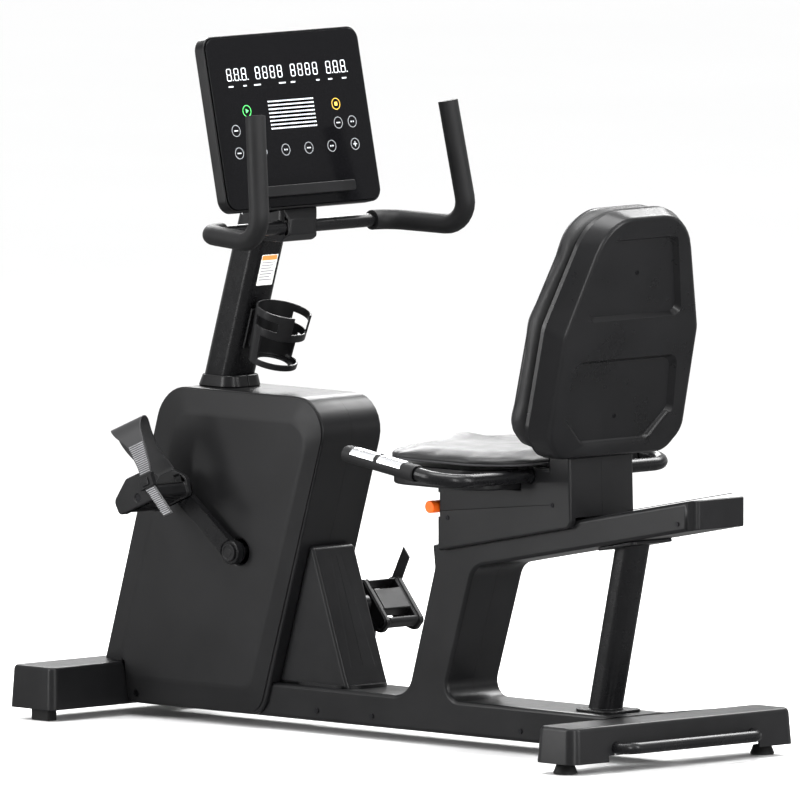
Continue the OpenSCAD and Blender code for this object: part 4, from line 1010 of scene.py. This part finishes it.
class BIKE_OT_pedals(bpy.types.Operator):
    """Cranks, pedals and their rubber straps"""
    bl_idname = "bike.pedals"
    bl_label = "Cranks and Pedals"

    # Along the strap: place across the pedal, height, middle from toe to heel, and width, in millimetres
    strap_run = [
        (47.8, 14, -8, 30), (47.8, 46, -10, 44), (42, 60, -14, 54), (24, 84, -20, 70), (0, 116, -12, 86),
        (-24, 142, 6, 94), (-42, 142, 12, 90), (-53, 124, 22, 72), (-55.8, 98, 36, 48), (-55.8, 70, 40, 40),
        (-55.8, 45, 42, 34), (-55.8, 20, 38, 30), (-55.8, -5, 48, 27), (-55.8, -30, 59, 26),
        (-55.8, -56, 70, 25)]

    def execute(self, context):
        for side, word in ((-1, "left"), (1, "right")):
            refine(f"crank_arm_{word}", f"crank_{word}", "paint", "crank", 0.0022, 3, 40)
            self.axle_cap(side, word)
            refine(f"pedal_{word}", f"pedal_body_{word}", "pedal", f"{word}_pedal",
                   0.0028, 3, 40)
            self.strap(side, word)
            self.buckle(side, word)
            self.treads(side, word)
        return {'FINISHED'}

    def axle_cap(self, side, word):
        """Ringed cap over the end of the crank axle."""
        none()
        bpy.ops.mesh.primitive_cylinder_add(vertices=48, radius=0.0165, depth=0.004)
        cap = named(f"axle_cap_{word}")
        only(cap)
        bpy.ops.object.mode_set(mode='EDIT')
        bpy.ops.mesh.select_all(action='DESELECT')
        bpy.ops.object.mode_set(mode='OBJECT')
        for face in cap.data.polygons:
            face.select = face.normal.z > 0.9
        bpy.ops.object.mode_set(mode='EDIT')
        bpy.ops.mesh.inset(thickness=0.003)
        bpy.ops.mesh.extrude_region_move(TRANSFORM_OT_translate={"value": (0, 0, -0.0012)})
        bpy.ops.mesh.inset(thickness=0.006)
        bpy.ops.mesh.extrude_region_move(TRANSFORM_OT_translate={"value": (0, 0, 0.001)})
        bpy.ops.object.mode_set(mode='OBJECT')
        soften(cap, 0.0005, 2, angle=50, clamp=True)
        placed(cap, Matrix.Translation((CRANK.x, side * 0.1162, CRANK.z))
               @ Matrix.Rotation(math.radians(90) * (1 if side < 0 else -1), 4, 'X'))
        finish(cap, "cover", "crank", angle=30)

    def strap(self, side, word):
        """The rubber band over the foot, wide over the toes and narrow at both ends."""
        rows = curve_through(self.strap_run, 5)
        none()
        bpy.ops.mesh.primitive_grid_add(x_subdivisions=6, y_subdivisions=len(rows) - 1, size=1)
        band = named(f"foot_strap_{word}")
        ordered = sorted(band.data.vertices, key=lambda v: (round(v.co.y, 5), round(v.co.x, 5)))
        across = 7
        for k, vertex in enumerate(ordered):
            y, z, middle, width = (value / 1000 for value in rows[k // across])
            t = (k % across) / (across - 1) - 0.5
            vertex.co = (middle + t * width, y, z)
        outward(band)
        modify(band, 'SOLIDIFY', thickness=0.0032, offset=0.0)
        soften(band, 0.0009, 2, angle=50, clamp=True)
        outward(placed(band, pedal_matrix(side)))
        finish(band, "strap", f"{word}_pedal", f"strap_{word}", angle=60)
        # Locking ribs on the narrow end, above and below the buckle
        ribs = []
        for z in [*range(38, 96, 4), *range(-52, 6, 4)]:
            row = min(rows, key=lambda r: abs(r[1] - z) + (200 if r[0] > -50 else 0))
            x, half = row[2] / 1000, row[3] / 2000 - 0.003
            ribs.append(bar_box("rib_painted_highlight", (x - half, -0.0584, (z - 1) / 1000),
                                (x + half, -0.0570, (z + 1) / 1000)))
        ribs = outward(placed(joined(ribs, f"strap_ribs_{word}"), pedal_matrix(side)))
        # The ribs take the lightened strap rubber, which is a painted highlight on their tops
        finish(ribs, "rib_painted_highlight", f"{word}_pedal", angle=30)

    def buckle(self, side, word):
        """Block that the strap's narrow end threads through, with a slot and a tongue."""
        block = bar_box(f"strap_buckle_{word}", (0.020, -0.0615, 0.008), (0.058, -0.0515, 0.034))
        carve(block, bar_box("buckle_slot", (0.0225, -0.0585, -0.02), (0.0555, -0.0530, 0.06)))
        soften(block, 0.0012, 3, angle=50, clamp=True)
        tongue = bar_box("buckle_tongue", (0.029, -0.0645, 0.012), (0.049, -0.0605, 0.027))
        soften(tongue, 0.0015, 2, angle=50, clamp=True)
        both = joined([block, tongue], f"strap_buckle_{word}")
        outward(placed(both, pedal_matrix(side)))
        finish(both, "pedal", f"{word}_pedal", angle=30)

    def treads(self, side, word):
        """Gripping bars across the pedal's upper face."""
        bars = []
        for x in (-0.050, -0.022, -0.012, 0.010, 0.018, 0.040):
            bar = bar_box("tread", (x - 0.0022, -0.040, 0.0115), (x + 0.0022, 0.032, 0.0150))
            bars.append(soften(bar, 0.0011, 2, angle=50, clamp=True))
        grip = joined(bars, f"pedal_treads_{word}")
        outward(placed(grip, pedal_matrix(side)))
        finish(grip, "rubber", f"{word}_pedal", angle=30)


# ---- label, screws and the works inside ----
class BIKE_OT_small_parts(bpy.types.Operator):
    """Blank care label on the mast, and finishes of the screws, axles and the works inside the covers"""
    bl_idname = "bike.small_parts"
    bl_label = "Label and Inner Parts"

    def execute(self, context):
        self.label()
        for node, material in (
                ("cover_screws", "screw"), ("main_frame", "paint"), ("seat_rail", "paint"),
                ("rail_bumper", "rubber"), ("wheel_axles", "steel"), ("console_board", "board"),
                ("crank_bearings", "steel"), ("flywheel_axle", "steel"), ("belt", "rubber"),
                ("brake_motor", "cover"), ("flywheel", "steel"), ("idler", "nylon"),
                ("magnet_bracket", "steel"), ("crank_axle", "steel"), ("drive_pulley", "nylon"),
                ("pedal_spindles", "screw"), ("carriage_frame", "paint"), ("front_rollers", "nylon"),
                ("rear_rollers", "nylon")):
            paint_node(node, material)
        return {'FINISHED'}

    def label(self):
        """A white sticker with an orange band and grey lines in place of words."""
        up = Vector((math.sin(MAST_LEAN), 0, math.cos(MAST_LEAN)))
        across = Vector((0, 1, 0))
        out = across.cross(up)
        if out.x < 0:
            out = -out
        face = turned(across, up, MAST_BASE + up * 0.224 + out * 0.0376)

        def patch(name, x0, x1, y0, y1, lift):
            outline = rounded([(x0, y0), (x1, y0), (x1, y1), (x0, y1)], 0.0008, 2)
            return plate(name, outline, 0.00012, face @ Matrix.Translation((0, 0, lift)))
        finish(patch("label_paper", -0.021, 0.021, -0.031, 0.031, 0.0), "paper", "frame")
        finish(patch("label_header", -0.0195, 0.0195, 0.020, 0.0295, 0.00014),
               "header", "frame")
        lines = [patch("line", -0.0175, 0.0175 - 0.004 * (k % 3),
                       0.014 - 0.0058 * k, 0.0163 - 0.0058 * k, 0.00014) for k in range(7)]
        finish(joined(lines, "label_lines"), "print", "frame")


# ---- floor, light and camera ----
class BIKE_OT_stage(bpy.types.Operator):
    """Pale floor, soft lights and the camera"""
    bl_idname = "bike.stage"
    bl_label = "Stage"

    def execute(self, context):
        context.scene.view_settings.view_transform = 'Standard'
        self.floor()
        self.light("left_strip", (-2.1, -3.4, 1.5), (-0.1, 0, 0.6), (0.7, 2.6), 95)
        self.light("front_strip", (3.3, 0.9, 1.5), (0.2, 0, 0.7), (0.5, 2.4), 60)
        self.light("right_strip", (3.6, -1.6, 1.5), (0.3, 0, 0.6), (0.7, 2.4), 70)
        self.light("far_box", (-0.3, 3.4, 3.4), (0.2, 0, 0.6), (2.4, 1.2), 130)
        self.light("back_box", (-3.4, 2.4, 2.6), (-0.1, 0, 0.7), (2.2, 1.2), 120)
        self.light("top_box", (0.3, -0.2, 3.4), (0.1, 0, 0.4), (2.6, 1.6), 150)
        self.sun(2.7)
        self.sky()
        self.camera()
        return {'FINISHED'}

    def floor(self):
        none()
        bpy.ops.mesh.primitive_plane_add(size=240, location=(0, 0, -0.0005))
        ground = named("floor")
        settle(ground)
        mat, tree, shader, place = surface("pale_floor", (0.93, 0.93, 0.93), 0.6)
        cloud = noise(tree, place, 0.8, 2)
        tree.links.new(tint(tree, spread(tree, cloud, 0, 1), (0.925, 0.925, 0.925), (0.94, 0.94, 0.94)),
                       shader.inputs["Base Color"])
        ground.data.materials.append(mat)
        ground.visible_glossy = False

    def light(self, name, place, aim, size, power):
        data = bpy.data.lights.new(name, 'AREA')
        data.shape = 'RECTANGLE'
        data.size, data.size_y = size
        data.energy = power
        lamp = bpy.data.objects.new(name, data)
        bpy.context.scene.collection.objects.link(lamp)
        lamp.location = place
        lamp.rotation_euler = (Vector(aim) - Vector(place)).to_track_quat('-Z', 'Y').to_euler()

    def sun(self, strength):
        data = bpy.data.lights.new("overhead", 'SUN')
        data.energy = strength
        data.angle = math.radians(120)
        lamp = bpy.data.objects.new("overhead", data)
        bpy.context.scene.collection.objects.link(lamp)
        lamp.location = (0, 0, 6)

    def sky(self):
        """White behind the bike, and a dimmer studio for the surfaces to reflect."""
        world = bpy.context.scene.world or bpy.data.worlds.new("studio")
        bpy.context.scene.world = world
        world.use_nodes = True
        tree = world.node_tree
        back = tree.nodes["Background"]
        back.inputs["Color"].default_value = (1, 1, 1, 1)
        # Bright near the horizon, where the level surfaces look, and dim above and below it
        place = tree.nodes.new("ShaderNodeTexCoord")
        parts = tree.nodes.new("ShaderNodeSeparateXYZ")
        tree.links.new(place.outputs["Generated"], parts.inputs["Vector"])
        ramp = tree.nodes.new("ShaderNodeValToRGB")
        stops = ramp.color_ramp.elements
        stops[0].position, stops[1].position = 0.0, 1.0
        for spot, level in ((0.0, 0.30), (0.46, 0.36), (0.53, 0.80), (0.57, 0.80), (0.66, 0.20), (1.0, 0.22)):
            stop = stops[0] if spot == 0 else stops[-1] if spot == 1 else stops.new(spot)
            stop.color = (level, level, level, 1)
        path = tree.nodes.new("ShaderNodeLightPath")
        most = tree.nodes.new("ShaderNodeMath")
        most.operation = 'MAXIMUM'
        tree.links.new(spread(tree, parts.outputs["Z"], 0, 1, -1, 1), ramp.inputs["Fac"])
        tree.links.new(ramp.outputs["Color"], most.inputs[0])
        tree.links.new(path.outputs["Is Camera Ray"], most.inputs[1])
        tree.links.new(most.outputs[0], back.inputs["Strength"])

    def camera(self):
        data = bpy.data.cameras.new("camera")
        data.lens = 1600
        data.sensor_width = 36
        data.clip_start = 1
        data.clip_end = 300
        eye = bpy.data.objects.new("camera", data)
        bpy.context.scene.collection.objects.link(eye)
        aim = Vector((-0.0331, 0, 0.6389))
        toward = Vector((0.70748, -0.70084, 0.09116)).normalized()
        right = Vector((0.70377, 0.71044, 0)).normalized()
        up = toward.cross(right)
        eye.matrix_world = (Matrix.Translation(aim + toward * 1.5094 * data.lens / data.sensor_width)
                            @ Matrix((right, up, toward)).transposed().to_4x4())
        bpy.context.scene.camera = eye


class BIKE_PT_panel(bpy.types.Panel):
    bl_idname = "BIKE_PT_panel"
    bl_label = "Exercise Bike"
    bl_space_type = 'VIEW_3D'
    bl_region_type = 'UI'
    bl_category = "Bike"

    def draw(self, context):
        for group in (context.scene.bike_sizes, context.scene.bike_colours):
            box = self.layout.box()
            for key in group.bl_rna.properties.keys():
                if key not in {"rna_type", "name"}:
                    box.prop(group, key)
        for operator in STEPS:
            self.layout.operator(operator.bl_idname)


STEPS = (BIKE_OT_stage, BIKE_OT_frame_covers, BIKE_OT_shroud, BIKE_OT_stabilizers, BIKE_OT_tubes,
         BIKE_OT_console, BIKE_OT_back_shell, BIKE_OT_carriage, BIKE_OT_cushions, BIKE_OT_pedals,
         BIKE_OT_small_parts)
CLASSES = (BikeSizes, BikeColours, *STEPS, BIKE_PT_panel)


def register():
    for cls in CLASSES:
        bpy.utils.register_class(cls)
    bpy.types.Scene.bike_sizes = bpy.props.PointerProperty(type=BikeSizes)
    bpy.types.Scene.bike_colours = bpy.props.PointerProperty(type=BikeColours)


def unregister():
    del bpy.types.Scene.bike_sizes
    del bpy.types.Scene.bike_colours
    for cls in reversed(CLASSES):
        bpy.utils.unregister_class(cls)


def main():
    register()
    make_finishes()
    for operator in STEPS:
        group, name = operator.bl_idname.split(".")
        getattr(getattr(bpy.ops, group), name)()


if __name__ == "__main__":
    main()
